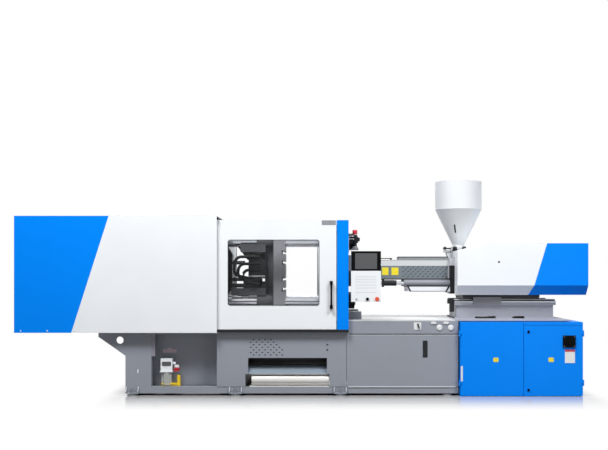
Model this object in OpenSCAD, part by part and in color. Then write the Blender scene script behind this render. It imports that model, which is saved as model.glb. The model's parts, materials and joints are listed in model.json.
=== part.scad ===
/* [Machine] */
// Distance from the fixed platen's mould face to the end of the clamp guard
clamp_reach = 2835; // [2800:5:3000]
// Distance from the fixed platen's mould face to the end of the injection cover
injection_reach = 2405; // [2380:5:2600]
// Overall width across the clamp guard
machine_w = 1350; // [1340:2:1420]
// Height of the clamp and screw axis above the floor
axis_z = 1130; // [1125:1:1140]
// Thickness of the sheet metal in guards and panels
sheet_t = 4; // [2:0.5:6]

/* [Bed] */
// Height of the deck above the floor
deck_z = 686; // [680:1:690]
// Thickness of the deck plate
deck_t = 10; // [8:1:16]
// Distance from the guard's side in to the bed's side frame
bed_inset = 80; // [76:1:90]
// Width of a side frame's beams and posts, across the machine
beam_w = 80; // [70:2:90]
// Height of a side frame's upper beam
upper_beam_h = 120; // [100:2:130]
// Height of a side frame's bottom rail
bottom_rail_h = 62; // [56:1:70]
// Gap from the floor to the underside of the bed
foot_gap = 20; // [16:1:24]
// Distance from the mould face to the clamp end of the bed
bed_clamp_l = 1845; // [1820:5:1870]
// Distance from the mould face to the injection end of the bed
bed_injection_l = 2205; // [2190:5:2260]
// Width of the post at the clamp end
end_post_w = 235; // [200:5:260]
// Width of the recess that holds the lubrication pump
recess_w = 595; // [560:5:620]
// Width of the opening in the side panels below the mould
chute_w = 765; // [740:5:790]
// Height of the tunnel below the chute
tunnel_z1 = 195; // [180:1:210]
// Height of the top of the chute's mouth
chute_z1 = 342; // [330:1:350]
// Thickness of the plates across the bed
diaphragm_t = 16; // [10:1:20]
// Radius of the lifting bar holes
lifting_r = 33; // [28:0.5:40]
// Radius of a levelling pad
pad_r = 45; // [36:1:50]
// Radius of a levelling screw
levelling_r = 12; // [10:0.5:14]

/* [Clamp unit] */
// Side of the square platens
platen_s = 730; // [724:2:740]
// Thickness of the fixed platen
fixed_t = 180; // [170:2:190]
// Thickness of the moving platen's front plate
moving_t = 112; // [104:2:120]
// Thickness of the moving platen's rear body
moving_body_t = 78; // [70:2:90]
// Distance between tie bar centres
tie_pitch = 555; // [550:1:560]
// Radius of the tie bars
tie_r = 42; // [38:0.5:44]
// Open gap between the platens at rest
daylight = 400; // [395:1:405]
// Radius of the locating bore for the mould
locating_r = 62.5; // [50:0.5:70]
// Length between the pin centres of a toggle link
link_l = 300; // [296:1:304]
// Angle of the toggle links at rest
rest_angle = 53.13; // [52:0.01:54]
// Angle by which a drive link's pin leads its toggle link
lead_angle = 5; // [4:0.5:6]
// Distance from the axis to the toggle pin rows
pin_row = 140; // [136:1:144]
// Radius of the toggle pins
pin_r = 24; // [20:0.5:26]
// Length between the pin centres of a drive link
drive_l = 150; // [148:1:152]
// Radius of the drive link pins
drive_pin_r = 16; // [12:0.5:18]
// Distance from the moving platen's mould face to its toggle pins
platen_pin_l = 335; // [330:1:340]
// Thickness of the tailstock
tailstock_t = 170; // [150:2:180]
// Travel of the tailstock for mould height
height_travel = 250; // [200:5:250]
// Radial running clearance of shafts and pins
running = 0.08; // [0.03:0.01:0.1]
// Radius of the clamp cylinder's rod
rod_r = 34; // [28:0.5:36]

/* [Guards and doors] */
// Height of the lower edge of the clamp guard
guard_z0 = 573; // [570:1:575]
// Height of the top of the clamp guard
guard_z1 = 1627; // [1620:1:1640]
// Length of the clamp guard
guard_l = 1825; // [1810:5:1835]
// Length of the blue end at the top of the guard
blue_top_l = 852; // [800:2:900]
// Length of the blue end at the bottom of the guard
blue_low_l = 515; // [480:2:560]
// Thickness of a door
door_t = 30; // [26:1:32]
// Height of the top of the doors and of the arch
door_z1 = 1590; // [1580:1:1595]
// Width of the arch over the fixed platen, along the machine
arch_w = 103; // [95:1:108]
// Thickness of the arch
arch_t = 44; // [40:1:45]
// Travel of the doors
door_travel = 900; // [850:5:900]
// Distance from a door's edge to its window
window_margin = 135; // [120:5:160]
// Height of the door window
window_h = 587; // [560:1:600]
// Thickness of the window pane
pane_t = 8; // [5:0.5:10]
// Length of the door handle
handle_l = 253; // [220:1:280]

/* [Injection unit] */
// Radius of the barrel
barrel_r = 65; // [60:0.5:66]
// Radius of the screw
screw_r = 30; // [26:0.5:34]
// Half width of the barrel guard
shroud_w = 130; // [124:1:136]
// Width of the injection cover
cover_w = 800; // [760:4:840]
// Height of the top of the injection cover
cover_z1 = 1387; // [1380:1:1400]
// Height of the injection cover at its low end, by the hopper
cover_nose_z = 1316; // [1310:1:1330]
// Radius of the hopper's cylinder
hopper_r = 222; // [210:1:230]
// Height of the hopper's cylinder
hopper_cyl_h = 264; // [240:1:270]
// Height of the hopper's cone
hopper_cone_h = 343; // [320:1:360]
// Radius of the hopper's neck
neck_r = 55; // [48:1:60]
// Wall of the hopper
hopper_t = 4; // [3:0.5:6]
// Forward travel of the injection unit
carriage_forward = 65; // [60:1:65]
// Radius of the carriage cylinders
cylinder_r = 33; // [30:0.5:34]
// Radius of the carriage cylinder rods
cylinder_rod_r = 16; // [10:0.5:18]
// Stroke of the screw
screw_stroke = 180; // [150:5:180]

/* [Electrical cabinet and control panel] */
// Distance from the mould face to the cabinet
cabinet_l0 = 1185; // [1180:1:1195]
// Width of the cabinet
cabinet_w = 1105; // [1080:5:1120]
// Depth of the cabinet with its doors
cabinet_d = 560; // [500:5:560]
// Thickness of the cabinet doors
cabinet_door_t = 20; // [16:1:24]
// Width of the left cabinet door
left_leaf_w = 570; // [540:2:600]
// Width of the control panel
panel_w = 268; // [250:1:272]
// Height of the control panel
panel_h = 456; // [430:1:470]
// Thickness of the control panel
panel_t = 56; // [50:1:60]
// Height of the black screen frame
bezel_h = 178; // [160:1:190]

/* [Hidden] */
$fn = 64;

white = "#e9edf2";
blue = "#0084fa";
base_grey = "#8a8e99";
light_grey = "#d5d5d5";
cast_grey = "#5a5a5c";
black = "#202124";
steel = "#b9bcc0";
red = "#d0402f";

// Places along the machine, from the mould face of the fixed platen
mould_x = (clamp_reach - injection_reach) / 2;
guard_x0 = mould_x - clamp_reach;
guard_x1 = guard_x0 + guard_l;
bed_x0 = mould_x - bed_clamp_l;
bed_x1 = mould_x + bed_injection_l;
fixed_x1 = mould_x + fixed_t;
half_w = machine_w / 2;
side_y = half_w - bed_inset;

// Bed
rail_z1 = foot_gap + bottom_rail_h;
deck_under = deck_z - deck_t;
beam_z0 = deck_under - upper_beam_h;
recess_x0 = bed_x0 + end_post_w;
recess_x1 = recess_x0 + recess_w;
chute_x1 = mould_x + 8;
chute_x0 = chute_x1 - chute_w;
chute_lip = 77;
panel_seam_x = mould_x + 161;
way_h = 20;
way_z1 = deck_z + way_h;
way_y0 = 240;
way_y1 = 330;
mould_pit_w = 430;
pit_x0 = mould_x - 1325;
pit_x1 = mould_x - 15;
outrigger = 20;
bracket_w = 118;
bracket_t = 10;
gusset_l = 245;
gusset_h = 209;
foot_xs = [bed_x0 + 65, bed_x0 + 1000, mould_x + 103, mould_x + 1075, bed_x1 - 70];
foot_y = side_y - beam_w / 2;
bracket_y = side_y + outrigger;

// Clamp unit
moving_x = mould_x - daylight;
pin_c_x = moving_x - platen_pin_l;
knee_x = pin_c_x - link_l * cos(rest_angle);
knee_z = pin_row + link_l * sin(rest_angle);
pin_a_x = knee_x - link_l * cos(rest_angle);
drive_angle = rest_angle + lead_angle;
drive_x = pin_a_x + drive_l * cos(drive_angle);
drive_z = pin_row + drive_l * sin(drive_angle);
cross_x = pin_a_x + 2 * drive_l * cos(drive_angle);
tailstock_x1 = pin_a_x - 80;
tailstock_x0 = tailstock_x1 - tailstock_t;
tie_y = tie_pitch / 2;
tie_x0 = tailstock_x0 - height_travel - 180;
tie_x1 = fixed_x1 + 75;
eye_r = 45;
drive_eye_r = 30;
cheek_y = [105, 135, 165, 195];
front_y = [137, 163];
drive_y = [78, 103];
ear_y = 75;
brace_s = 75;
brace_off = 55;
brace_r = 20;
slot_zs = [-171, -78, 78, 171];
ejector_y = 60;
ejector_z = 60;
ejector_r = 12.5;
ejector_rod_r = 20;
ejector_x0 = pin_c_x - 20;
guide_z = 80;
guide_r = 18;
guide_x1 = cross_x + 145;

// Doors and guards
door_x0 = guard_x1 - 35;
door_x1 = mould_x + 67;
door_y1 = half_w - 35;
door_y0 = door_y1 - door_t;
rail_top = 601;
door_z0 = rail_top + 2;
arch_x0 = door_x1 + 8;
arch_x1 = arch_x0 + arch_w;
window_x0 = door_x0 + window_margin;
window_w = door_x1 - window_margin - 22 - window_x0;
window_z0 = door_z0 + 220;
window_r = 18;
handle_x = door_x1 - 46;
handle_z0 = window_z0 - 36;
rail_x0 = door_x0 - door_travel - 20;

// Injection unit
tip_x = mould_x + carriage_forward - 2;
barrel_x0 = mould_x + 205;
feed_x = mould_x + 1256.5;
feed_block_x0 = mould_x + 1153;
feed_block_x1 = mould_x + 1345;
feed_block_z1 = 1250;
guide_rod_y = 155;
guide_rod_r = 20;
slide_x0 = feed_block_x1 + 200;
slide_t = 80;
carriage_x0 = mould_x + 1263;
carriage_x1 = slide_x0 + slide_t + screw_stroke + 180;
carriage_z0 = 884;
carriage_z1 = 907;
base_x0 = mould_x + 1183;
base_x1 = mould_x + injection_reach - 271;
base_w = 520;
base_z1 = 849;
flange_h = 38;
ram_y = 150;
ram_z = 1016;
ram_x0 = mould_x + 722;
ram_x1 = feed_block_x0;
shroud_x0 = mould_x + 345;
cover_x0 = mould_x + 1195;
cover_slope_x = mould_x + 1470;
cover_x1 = mould_x + injection_reach;
cover_fold_z = 997;
cover_z0 = 908;
cover_low_w = 620;
hopper_z0 = 1250;
neck_z1 = hopper_z0 + 128;
cone_z1 = neck_z1 + hopper_cone_h;
hopper_z1 = cone_z1 + hopper_cyl_h;
gate_z0 = hopper_z0 + 72;
gate_t = 10;

purge_y = shroud_w + 15;
purge_z = 1280;
purge_x0 = fixed_x1 + 4;
purge_x1 = purge_x0 + 145;
purge_pin_r = 6;
purge_pin_y = purge_y + 10;
purge_pin_z = purge_z - 10;

// Cabinet and control panel
cabinet_x0 = mould_x + cabinet_l0;
cabinet_x1 = cabinet_x0 + cabinet_w;
cabinet_y0 = 15 - half_w;
shell_y0 = cabinet_y0 + cabinet_door_t;
shell_y1 = cabinet_y0 + cabinet_d;
cabinet_z0 = 4;
cabinet_z1 = deck_under - 7;
leaf_gap = 4;
hinge_y = cabinet_y0 + 8;
hinge_off = 4;
hinge_r = 8;
hinge_pin_r = 4;
hinge_zs = [cabinet_z0 + 90, cabinet_z1 - 130];
isolator_x = cabinet_x1 - 126;
isolator_z = 495;
panel_x0 = fixed_x1 + 20;
panel_z0 = 853;
panel_y0 = 3 - half_w;
panel_y1 = panel_y0 + panel_t;
swivel_x = panel_x0 + panel_w / 2;
swivel_y = panel_y1 + 16;
swivel_r = 8;
button_z = panel_z0 + 24;
stop_x = panel_x0 + panel_w - 35;
mode_x = panel_x0 + panel_w - 122;
arm_y = side_y - 110;

// A box between limits along each axis
module block(xs, ys, zs) {
    translate([xs[0], ys[0], zs[0]])
        cube([xs[1] - xs[0], ys[1] - ys[0], zs[1] - zs[0]]);
}

// A round bar along the machine
module bar_x(x0, x1, y, z, r) {
    translate([x0, y, z])
        rotate([0, 90, 0])
            cylinder(h = x1 - x0, r = r);
}

// A round bar across the machine
module bar_y(x, y0, y1, z, r) {
    translate([x, y0, z])
        rotate([-90, 0, 0])
            cylinder(h = y1 - y0, r = r);
}

// An upright round bar
module bar_z(x, y, z0, z1, r) {
    translate([x, y, z0])
        cylinder(h = z1 - z0, r = r);
}

// A plate that stands along the machine, drawn as x and z
module upright(y0, y1) {
    translate([0, y1, 0])
        rotate([90, 0, 0])
            linear_extrude(y1 - y0)
                children();
}

// A profile drawn as y and z, drawn out along the machine
module profile(x0, x1) {
    translate([x0, 0, 0])
        rotate([90, 0, 90])
            linear_extrude(x1 - x0)
                children();
}

// A shape and its mirror image on the other side of the machine
module both_sides() {
    children();
    mirror([0, 1, 0])
        children();
}

// A shape at each of the four tie bars
module at_tie_bars() {
    for (y = [-tie_y, tie_y])
        for (z = [-tie_y, tie_y])
            translate([0, y, axis_z + z])
                children();
}

// A rectangle with round corners, drawn as x and z
module rounded(x0, x1, z0, z1, r) {
    union() {
        translate([x0 + r, z0])
            square([x1 - x0 - 2 * r, z1 - z0]);
        translate([x0, z0 + r])
            square([x1 - x0, z1 - z0 - 2 * r]);
        for (x = [x0 + r, x1 - r])
            for (z = [z0 + r, z1 - r])
                translate([x, z])
                    circle(r = r);
    }
}

// Bed: welded side frames, cross plates and the arms that carry the clamp guard
module side_frame(x1) {
    block([bed_x0, x1], [side_y - beam_w, side_y], [beam_z0, deck_under]);
    block([bed_x0, x1], [side_y - beam_w, side_y], [foot_gap, rail_z1]);
    block([bed_x0, recess_x0], [side_y - beam_w, side_y], [foot_gap, deck_under]);
    block([recess_x1, chute_x0 - 30], [side_y - beam_w, side_y], [foot_gap, deck_under]);
    block([chute_x1 + 30, panel_seam_x], [side_y - beam_w, side_y], [foot_gap, deck_under]);
    block([x1 - 90, x1], [side_y - beam_w, side_y], [foot_gap, deck_under]);
}

module guard_arm() {
    block([guard_x0 + 20, bed_x0], [side_y - beam_w, side_y], [guard_z0 + 4, beam_z0 + 74]);
    difference() {
        upright(side_y - 20, side_y)
            polygon([
                [bed_x0, guard_z0 - 3],
                [bed_x0 - gusset_l, guard_z0 - 3],
                [bed_x0 - gusset_l, guard_z0 - 40],
                [bed_x0, guard_z0 - 3 - gusset_h]]);
        bar_y(bed_x0 - 50, side_y - 30, side_y + 10, guard_z0 - 71, lifting_r);
    }
    block([bed_x0 - gusset_l, bed_x0], [side_y - 80, side_y], [guard_z0 - 3, guard_z0 + 4]);
}

// Seat outside a side frame for a levelling screw: a plate between two gussets
module levelling_seat(x) {
    block([x - bracket_w / 2, x + bracket_w / 2], [side_y - 1, bracket_y + 22],
        [foot_gap, foot_gap + bracket_t]);
    for (side = [-1, 1])
        translate([x + side * (bracket_w - bracket_t) / 2, 0, 0])
            rotate([90, 0, 90])
                linear_extrude(bracket_t, center = true)
                    polygon([
                        [side_y - 1, foot_gap + 1], [bracket_y + 22, foot_gap + 1],
                        [bracket_y + 22, foot_gap + 22], [side_y + 8, rail_z1 - 2],
                        [side_y - 1, rail_z1 - 2]]);
}

module cross_plate(x, y0, y1, z1) {
    block([x, x + diaphragm_t], [y0, y1], [foot_gap + 10, z1]);
}

module bed_frame() {
    inner = side_y - beam_w;
    color(base_grey)
        difference() {
            union() {
                side_frame(bed_x1);
                mirror([0, 1, 0])
                    side_frame(cabinet_x0 - 10);
                both_sides() {
                    guard_arm();
                    for (i = [0 : 2])
                        levelling_seat(foot_xs[i]);
                }
                cross_plate(bed_x0, -inner, inner, deck_under);
                cross_plate(recess_x0 - diaphragm_t, -inner, inner, deck_under);
                cross_plate(recess_x1, -inner, inner, beam_z0);
                cross_plate(panel_seam_x - diaphragm_t, -inner, inner, deck_under);
                cross_plate(cabinet_x0 - 10 - diaphragm_t, -inner, inner, deck_under);
                cross_plate(bed_x1 - diaphragm_t, shell_y1, inner, deck_under);
                block([cabinet_x0 - 10, bed_x1], [shell_y1, shell_y1 + beam_w],
                    [beam_z0, deck_under]);
                block([cabinet_x0 - 10, bed_x1], [shell_y1, shell_y1 + beam_w],
                    [foot_gap, rail_z1]);
            }
            for (i = [0 : 2])
                for (y = [-bracket_y, bracket_y])
                    bar_z(foot_xs[i], y, foot_gap - 5, foot_gap + 50, levelling_r + 0.3);
            for (foot = inner_feet)
                bar_z(foot[0], foot[1], foot_gap - 5, foot_gap + 50, levelling_r + 0.3);
            upright(-side_y - 1, -side_y + 12)
                rounded(bed_x0 + 104, bed_x0 + 122, 200, 242, 8);
        }
}

module deck() {
    color(light_grey)
        difference() {
            block([bed_x0, bed_x1], [-side_y, side_y], [deck_under, deck_z]);
            block([pit_x0, pit_x1], [-mould_pit_w / 2, mould_pit_w / 2],
                [deck_under - 1, deck_z + 1]);
        }
}

module clamp_ways() {
    color(steel)
        both_sides()
            block([tailstock_x0 - height_travel - 20, mould_x - 5], [way_y0, way_y1],
                [deck_z, way_z1]);
}

inner_feet = [
    [foot_xs[3], -foot_y],
    [foot_xs[3], foot_y],
    [foot_xs[4], foot_y],
    [foot_xs[4], shell_y1 + 50]];

module levelling_foot(x, y) {
    bar_z(x, y, 0, 12, pad_r);
    bar_z(x, y, 12, foot_gap, 20);
    bar_z(x, y, foot_gap, foot_gap + 45, levelling_r);
}

module levelling_feet() {
    color(cast_grey) {
        for (i = [0 : 2])
            for (y = [-bracket_y, bracket_y]) {
                levelling_foot(foot_xs[i], y);
                bar_z(foot_xs[i], y, foot_gap + bracket_t, foot_gap + bracket_t + 16, 20);
            }
        for (foot = inner_feet)
            levelling_foot(foot[0], foot[1]);
    }
}

// Side panel below the mould, with the grille, the chute's mouth and the tunnel
grille_x0 = chute_x0 + 49;
grille_z0 = 368;
grille_pitch = 52;
grille_row_pitch = 23.3;
grille_hole_w = 22;
grille_hole_h = 13;
grille_cols = 6;
grille_rows = 7;

module grille_holes() {
    w = grille_hole_w / 2;
    h = grille_hole_h / 2;
    for (row = [0 : grille_rows - 1])
        for (col = [0 : grille_cols - 1 - max(0, floor(row / 2) - 1)])
            translate([grille_x0 + (col + (row + 1) % 2 / 2) * grille_pitch,
                    grille_z0 + row * grille_row_pitch])
                polygon([[-w, 0], [0, -h], [w, 0], [0, h]]);
}

module lower_panel(pierced) {
    upright(-side_y - sheet_t, -side_y)
        difference() {
            polygon([
                [recess_x1, rail_z1],
                [chute_x0, rail_z1],
                [chute_x0, tunnel_z1],
                [chute_x0 + 25, tunnel_z1],
                [chute_x0 + 25, chute_z1],
                [chute_x1 - 25, chute_z1],
                [chute_x1 - 25, tunnel_z1],
                [chute_x1, tunnel_z1],
                [chute_x1, rail_z1],
                [panel_seam_x - 2, rail_z1],
                [panel_seam_x - 2, beam_z0],
                [recess_x1, beam_z0]]);
            if (pierced)
                grille_holes();
        }
}

module grille_panel() {
    color(base_grey) {
        lower_panel(true);
        mirror([0, 1, 0])
            lower_panel(false);
    }
}

// Closing panels of the pump recess, the service side and the back
module service_sheet(x1) {
    upright(-side_y - sheet_t, -side_y)
        difference() {
            translate([panel_seam_x + 2, rail_z1])
                square([x1 - panel_seam_x - 2, beam_z0 - rail_z1]);
            rounded(panel_seam_x + 690, panel_seam_x + 735, 344, 499, 10);
        }
    translate([panel_seam_x + 682, -side_y, 336])
        difference() {
            cube([61, 36, 171]);
            translate([sheet_t, -1, sheet_t])
                cube([61 - 2 * sheet_t, 33, 171 - 2 * sheet_t]);
        }
}

module side_panels() {
    recess_y = side_y - beam_w - 60;
    color(base_grey) {
        block([recess_x0, recess_x1], [-recess_y - sheet_t, -recess_y], [rail_z1, beam_z0]);
        block([recess_x0, recess_x1], [side_y, side_y + sheet_t], [rail_z1, beam_z0]);
        service_sheet(cabinet_x0 - 12);
        mirror([0, 1, 0])
            service_sheet(bed_x1);
    }
}

// Folded sheet below the mould, open to both sides of the machine
module product_chute() {
    mouth_y = side_y - 4;
    floor_y = mouth_y - chute_lip - 3;
    floor_z = tunnel_z1 + chute_lip;
    t = sheet_t;
    inner = side_y - beam_w - 2;
    color(light_grey) {
        profile(chute_x0 + 2, chute_x1 - 2)
            polygon([
                [-mouth_y, tunnel_z1], [-floor_y, floor_z], [floor_y, floor_z],
                [mouth_y, tunnel_z1], [mouth_y, tunnel_z1 + t], [floor_y, floor_z + t],
                [-floor_y, floor_z + t], [-mouth_y, tunnel_z1 + t]]);
        for (x = [chute_x0 + 2, chute_x1 - 2 - t]) {
            block([x, x + t], [-inner, inner], [tunnel_z1 - 1, deck_under]);
            block([x, x + t], [-mouth_y, mouth_y], [rail_z1, tunnel_z1 + 2]);
        }
        block([chute_x0 + 2, chute_x1 - 2], [-mouth_y, mouth_y], [rail_z1, rail_z1 + t]);
    }
}

// Plates that carry the mould halves
module t_slot(x, face, z) {
    block([min(x, x + face * 16), max(x, x + face * 16)],
        [-platen_s / 2 - 1, platen_s / 2 + 1], [z - 11, z + 11]);
    block([min(x + face * 16, x + face * 32), max(x + face * 16, x + face * 32)],
        [-platen_s / 2 - 1, platen_s / 2 + 1], [z - 19, z + 19]);
}

module fixed_platen() {
    half = platen_s / 2;
    color(cast_grey)
        difference() {
            union() {
                block([mould_x, fixed_x1], [-half, half], [axis_z - half, axis_z + half]);
                both_sides()
                    block([mould_x, fixed_x1], [way_y0, half], [deck_z, axis_z - half]);
                both_sides()
                    block([fixed_x1, fixed_x1 + 128], [way_y0, half], [deck_z, deck_z + 68]);
                bar_x(fixed_x1 - 1, purge_x1 + 6, purge_pin_y, purge_pin_z, purge_pin_r);
            }
            at_tie_bars()
                bar_x(mould_x - 1, fixed_x1 + 1, 0, 0, tie_r + running);
            bar_x(mould_x - 1, mould_x + 25, 0, axis_z, locating_r);
            bar_x(mould_x, fixed_x1 + 1, 0, axis_z, 34);
            bar_x(mould_x + 50, fixed_x1 + 1, 0, axis_z, 76);
            for (z = slot_zs)
                t_slot(mould_x, 1, axis_z + z);
        }
}

module tie_bars() {
    color(steel)
        at_tie_bars()
            bar_x(tie_x0, tie_x1, 0, 0, tie_r);
}

module tie_bar_nuts() {
    color(black)
        at_tie_bars()
            difference() {
                bar_x(fixed_x1, fixed_x1 + 65, 0, 0, 74);
                bar_x(fixed_x1 - 1, fixed_x1 + 66, 0, 0, tie_r + running);
            }
}

// Blue band that closes the guards over the fixed platen
module platen_arch() {
    color(blue)
        profile(arch_x0, arch_x1)
            difference() {
                translate([-door_y1, rail_top])
                    square([2 * door_y1, door_z1 - rail_top]);
                translate([-door_y1 + arch_t, rail_top - 1])
                    square([2 * (door_y1 - arch_t), door_z1 - rail_top - arch_t + 1]);
            }
}

// Sheet cover over the toggle and clamp cylinder
module guard_shell() {
    t = sheet_t;
    difference() {
        block([guard_x0, guard_x1], [-half_w, half_w], [guard_z0, guard_z1]);
        block([guard_x0 + t, guard_x1 + 1], [-half_w + t, half_w - t],
            [guard_z0 + t, guard_z1 - t]);
        block([guard_x0 + 60, rail_x0 - 5], [-side_y, side_y], [guard_z0 - 1, guard_z0 + t + 1]);
        block([rail_x0 - 6, guard_x1 + 1], [-door_y1 - 8, door_y1 + 8],
            [guard_z0 - 1, guard_z0 + t + 1]);
    }
}

module guard_seam() {
    upright(-half_w - 5, half_w + 5)
        polygon([
            [guard_x0 - 5, guard_z1 + 5],
            [guard_x0 + blue_top_l, guard_z1 + 5],
            [guard_x0 + blue_top_l, guard_z1],
            [guard_x0 + blue_low_l, guard_z0],
            [guard_x0 + blue_low_l, guard_z0 - 5],
            [guard_x0 - 5, guard_z0 - 5]]);
}

module clamp_guard() {
    color(white)
        difference() {
            guard_shell();
            guard_seam();
        }
}

module clamp_guard_end() {
    color(blue)
        intersection() {
            guard_shell();
            guard_seam();
        }
}

module door_rails() {
    color(cast_grey)
        both_sides()
            block([rail_x0, arch_x1], [side_y, door_y1 + 5], [rail_top - 26, rail_top]);
}

// Tailstock with its fixed pins, and the rods that guide the crosshead
module tailstock() {
    half = platen_s / 2;
    color(cast_grey)
        difference() {
            union() {
                block([tailstock_x0, tailstock_x1], [-half, half],
                    [axis_z - half, axis_z + half]);
                both_sides()
                    block([tailstock_x0, tailstock_x1], [way_y0, way_y1],
                        [way_z1, axis_z - half]);
                both_sides()
                    for (z = [-pin_row, pin_row]) {
                        block([tailstock_x1 - 5, pin_a_x], front_y,
                            [axis_z + z - eye_r, axis_z + z + eye_r]);
                        bar_y(pin_a_x, front_y[0], front_y[1], axis_z + z, eye_r);
                        bar_y(pin_a_x, cheek_y[0], cheek_y[3], axis_z + z, pin_r);
                    }
                for (z = [-guide_z, guide_z])
                    bar_x(tailstock_x1 - 5, guide_x1, 0, axis_z + z, guide_r);
            }
            at_tie_bars()
                bar_x(tailstock_x0 - 1, tailstock_x1 + 1, 0, 0, tie_r + running);
            bar_x(tailstock_x0 - 1, tailstock_x1 + 1, 0, axis_z, rod_r + 6);
        }
}

// Clamp cylinder and the nuts that set the mould height
module clamp_drive() {
    x0 = tailstock_x0 - 570;
    color(steel)
        at_tie_bars()
            difference() {
                union() {
                    bar_x(tailstock_x0 - 60, tailstock_x0, 0, 0, 72);
                    bar_x(tailstock_x0 - 40, tailstock_x0 - 15, 0, 0, 84);
                }
                bar_x(tailstock_x0 - 61, tailstock_x0 + 1, 0, 0, tie_r + running);
            }
    color(base_grey)
        difference() {
            union() {
                bar_x(x0, tailstock_x0, 0, axis_z, 95);
                bar_x(tailstock_x0 - 40, tailstock_x0, 0, axis_z, 135);
                bar_x(x0, x0 + 40, 0, axis_z, 110);
            }
            bar_x(x0 + 60, tailstock_x0 + 1, 0, axis_z, rod_r + running);
        }
}

// Flat link with an eye at each end, from the origin along x
module link_plate(l, y0, y1, r) {
    bar_y(0, y0, y1, 0, r);
    bar_y(l, y0, y1, 0, r);
    block([0, l], [y0, y1], [-r, r]);
}

// Rear toggle link: two pairs of cheeks with a brace, its knee pins and drive pins
module rear_link() {
    difference() {
        union() {
            both_sides()
                for (i = [0, 2]) {
                    link_plate(link_l, cheek_y[i], cheek_y[i + 1], eye_r - 8);
                    bar_y(0, cheek_y[i], cheek_y[i + 1], 0, eye_r);
                    bar_y(link_l, cheek_y[i], cheek_y[i + 1], 0, eye_r);
                    bar_y(brace_s, cheek_y[i], cheek_y[i + 1], brace_off, brace_r + 10);
                }
            bar_y(brace_s, -cheek_y[3], cheek_y[3], brace_off, brace_r);
            both_sides() {
                bar_y(link_l, cheek_y[0], cheek_y[3], 0, pin_r);
                bar_y(drive_l * cos(lead_angle), drive_y[0], cheek_y[1],
                    drive_l * sin(lead_angle), drive_pin_r);
            }
        }
        both_sides()
            bar_y(0, cheek_y[0] - 1, cheek_y[3] + 1, 0, pin_r + running);
    }
}

module front_link() {
    difference() {
        union() {
            both_sides()
                link_plate(link_l, front_y[0], front_y[1], eye_r - 5);
            block([link_l / 2 - 20, link_l / 2 + 20], [-front_y[1], front_y[1]], [-14, 14]);
        }
        both_sides()
            for (x = [0, link_l])
                bar_y(x, front_y[0] - 1, front_y[1] + 1, 0, pin_r + running);
    }
}

module drive_link() {
    difference() {
        union() {
            both_sides()
                link_plate(drive_l, drive_y[0], drive_y[1], drive_eye_r);
            block([drive_l / 2 - 12, drive_l / 2 + 12], [-drive_y[1], drive_y[1]], [-9, 9]);
        }
        both_sides()
            for (x = [0, drive_l])
                bar_y(x, drive_y[0] - 1, drive_y[1] + 1, 0, drive_pin_r + running);
    }
}

// The upper half of the toggle, or its mirror image below the axis
module toggle_half(lower) {
    translate([0, 0, axis_z])
        mirror([0, 0, lower ? 1 : 0])
            children();
}

module placed_rear_link(lower) {
    color(light_grey)
        toggle_half(lower)
            translate([pin_a_x, 0, pin_row])
                rotate([0, -rest_angle, 0])
                    rear_link();
}

module placed_front_link(lower) {
    color(light_grey)
        toggle_half(lower)
            translate([knee_x, 0, knee_z])
                rotate([0, rest_angle, 0])
                    front_link();
}

module placed_drive_link(lower) {
    color(steel)
        toggle_half(lower)
            translate([drive_x, 0, drive_z])
                rotate([0, drive_angle, 0])
                    drive_link();
}

module upper_rear_link() {
    placed_rear_link(false);
}

module lower_rear_link() {
    placed_rear_link(true);
}

module upper_front_link() {
    placed_front_link(false);
}

module lower_front_link() {
    placed_front_link(true);
}

module upper_drive_link() {
    placed_drive_link(false);
}

module lower_drive_link() {
    placed_drive_link(true);
}

module crosshead() {
    bush_l = 90;
    color(cast_grey)
        difference() {
            union() {
                block([cross_x - 28, cross_x + 28], [-ear_y, ear_y],
                    [axis_z - pin_row, axis_z + pin_row]);
                for (z = [-pin_row, pin_row]) {
                    bar_y(cross_x, -ear_y, ear_y, axis_z + z, 28);
                    both_sides()
                        bar_y(cross_x, ear_y - 1, drive_y[1], axis_z + z, drive_pin_r);
                }
                for (z = [-guide_z, guide_z])
                    bar_x(cross_x - bush_l, cross_x + 28, 0, axis_z + z, guide_r + 11);
                bar_x(cross_x - 780, cross_x, 0, axis_z, rod_r);
            }
            for (z = [-guide_z, guide_z])
                bar_x(cross_x - bush_l - 1, cross_x + 30, 0, axis_z + z, guide_r + running);
        }
}

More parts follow.
